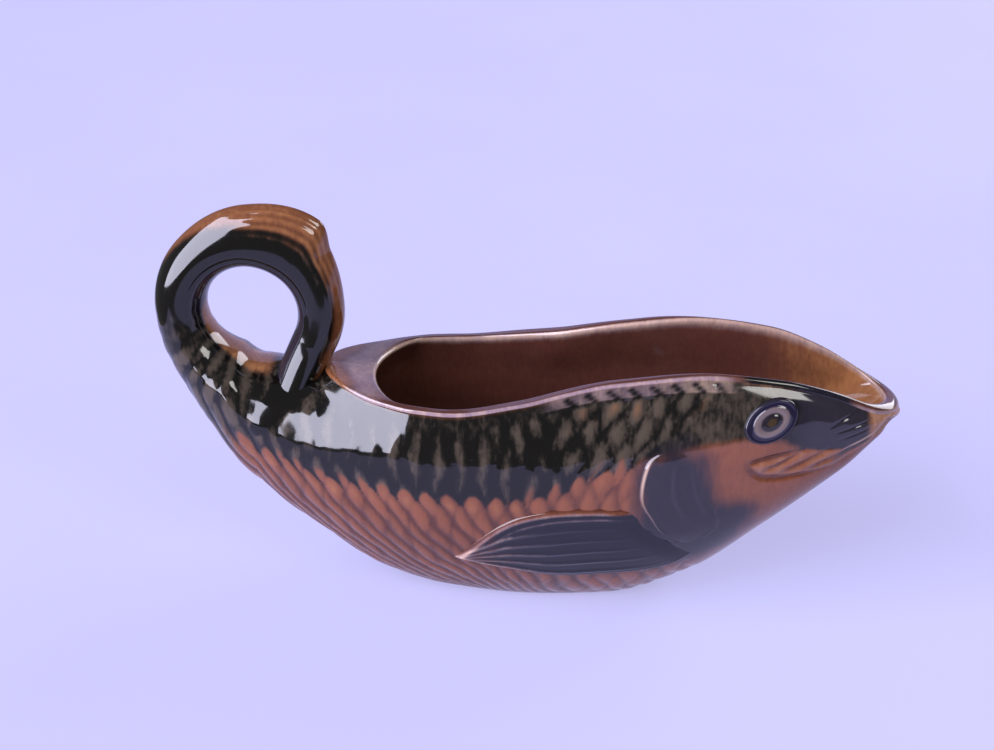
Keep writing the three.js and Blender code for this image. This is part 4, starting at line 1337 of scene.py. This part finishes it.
def area_light(name, power, place, target, size, tint):
    lamp = bpy.data.lights.new(name, "AREA")
    lamp.shape = "RECTANGLE"
    lamp.size, lamp.size_y = size
    lamp.energy = power
    lamp.color = tint
    light = bpy.data.objects.new(name, lamp)
    light.location = place
    light.rotation_euler = (Vector(target) - Vector(place)).to_track_quat("-Z", "Y").to_euler()
    bpy.context.scene.collection.objects.link(light)


class BOAT_OT_stage(bpy.types.Operator):
    """Build the floor, the soft light and the camera"""
    bl_idname = "gravy_boat.stage"
    bl_label = "Build Stage"

    def execute(self, context):
        stage = context.scene.gravy_boat.stage
        self.floor(context.scene, stage)
        self.light(context.scene, stage)
        self.camera(context.scene, stage)
        context.scene.view_settings.view_transform = "Standard"
        return {"FINISHED"}

    def floor(self, scene, stage):
        """Table top that ends just in front and to the left of the boat and sweeps up into a wall behind."""
        rows = [((x, y, 0), (TABLE_RIGHT, right_y, 0)) for (x, y), right_y in TABLE_FRONT]
        bend = np.radians(np.linspace(0, 90, 13))
        sweep = [(TABLE_FAR + TABLE_BOW * math.sin(a), TABLE_BOW - TABLE_BOW * math.cos(a)) for a in bend]
        sweep.append((TABLE_FAR + TABLE_BOW, TABLE_TOP))
        rows += [((TABLE_LEFT, y, z), (TABLE_RIGHT, y, z)) for y, z in sweep]
        points = [corner for row in rows for corner in row]
        faces = [(2 * k, 2 * k + 1, 2 * k + 3, 2 * k + 2) for k in range(len(rows) - 1)]
        mesh = bpy.data.meshes.new("table")
        mesh.from_pydata(points, [], faces)
        mesh.shade_smooth()
        mesh.materials.append(self.table_cloth(stage))
        floor = bpy.data.objects.new("table", mesh)
        scene.collection.objects.link(floor)

    def table_cloth(self, stage):
        """Pale cloth that shows mostly its plain colour, and keeps the boat's shadow."""
        material = new_material("table_cloth")
        tree = material.node_tree
        dark = rgba([c * 0.96 for c in stage.floor_colour])
        light = rgba([min(c * 1.04, 1) for c in stage.floor_colour])
        tint = mix_colour(tree, noise(tree, on_object(tree), 5.0, 2.0), dark, light)
        cloth = node(tree, "ShaderNodeBsdfPrincipled", {"Base Color": tint, "Roughness": 0.85})
        plain = node(tree, "ShaderNodeEmission", {"Color": tint, "Strength": 1.0})
        ray = node(tree, "ShaderNodeLightPath").outputs
        seen = math_node(tree, "ADD", ray["Is Camera Ray"], ray["Is Glossy Ray"])
        seen = math_node(tree, "ADD", seen, ray["Is Transmission Ray"], clamp=True)
        even = math_node(tree, "MULTIPLY", seen, stage.floor_even)
        blend = node(tree, "ShaderNodeMixShader", {0: even, 1: cloth.outputs[0], 2: plain.outputs[0]})
        node(tree, "ShaderNodeOutputMaterial", {"Surface": blend.outputs[0]})
        return material

    def light(self, scene, stage):
        """A tall window left of the camera, small lights right of it and behind, and dim light all round."""
        area_light("window", stage.window_power, *LAMPS["window"])
        area_light("front_light", stage.front_power, *LAMPS["front_light"])
        area_light("back_light", stage.back_power, *LAMPS["back_light"])
        scene.world = bpy.data.worlds.new("studio")
        scene.world.use_nodes = True
        tree = scene.world.node_tree
        tree.nodes.clear()
        sky = {"Color": (0.92, 0.92, 1.0, 1), "Strength": stage.sky_level}
        fill = node(tree, "ShaderNodeBackground", sky)
        node(tree, "ShaderNodeOutputWorld", {"Surface": fill.outputs[0]})

    def camera(self, scene, stage):
        """Camera fitted to the photograph."""
        right, forward = Vector(CAMERA_RIGHT), Vector(CAMERA_FORWARD)
        turn = Matrix((right, right.cross(forward), -forward)).transposed().to_4x4()
        camera = bpy.data.cameras.new("camera")
        camera.sensor_fit = "HORIZONTAL"
        camera.lens = stage.focal_pixels / PHOTO_WIDTH * camera.sensor_width
        camera.clip_start = 0.01
        view = bpy.data.objects.new("camera", camera)
        view.matrix_world = Matrix.Translation(CAMERA_PLACE) @ turn
        scene.collection.objects.link(view)
        scene.camera = view


class BOAT_PT_panel(bpy.types.Panel):
    """Buttons that build the boat piece by piece"""
    bl_idname = "BOAT_PT_panel"
    bl_label = "Gravy Boat"
    bl_space_type = "VIEW_3D"
    bl_region_type = "UI"
    bl_category = "Gravy Boat"

    def draw(self, context):
        for operator in OPERATORS:
            self.layout.operator(operator.bl_idname)


OPERATORS = (BOAT_OT_body, BOAT_OT_tail, BOAT_OT_gills, BOAT_OT_fins, BOAT_OT_eyes, BOAT_OT_stage)
CLASSES = (BOAT_PG_sizes, BOAT_PG_glaze, BOAT_PG_stage, BOAT_PG_settings, *OPERATORS, BOAT_PT_panel)


def register():
    for cls in CLASSES:
        bpy.utils.register_class(cls)
    bpy.types.Scene.gravy_boat = bpy.props.PointerProperty(type=BOAT_PG_settings)


def unregister():
    del bpy.types.Scene.gravy_boat
    for cls in reversed(CLASSES):
        bpy.utils.unregister_class(cls)


def main():
    register()
    bpy.ops.gravy_boat.body()
    bpy.ops.gravy_boat.tail()
    bpy.ops.gravy_boat.gills()
    bpy.ops.gravy_boat.fins()
    bpy.ops.gravy_boat.eyes()
    bpy.ops.gravy_boat.stage()
    bpy.context.view_layer.update()


if __name__ == "__main__":
    main()
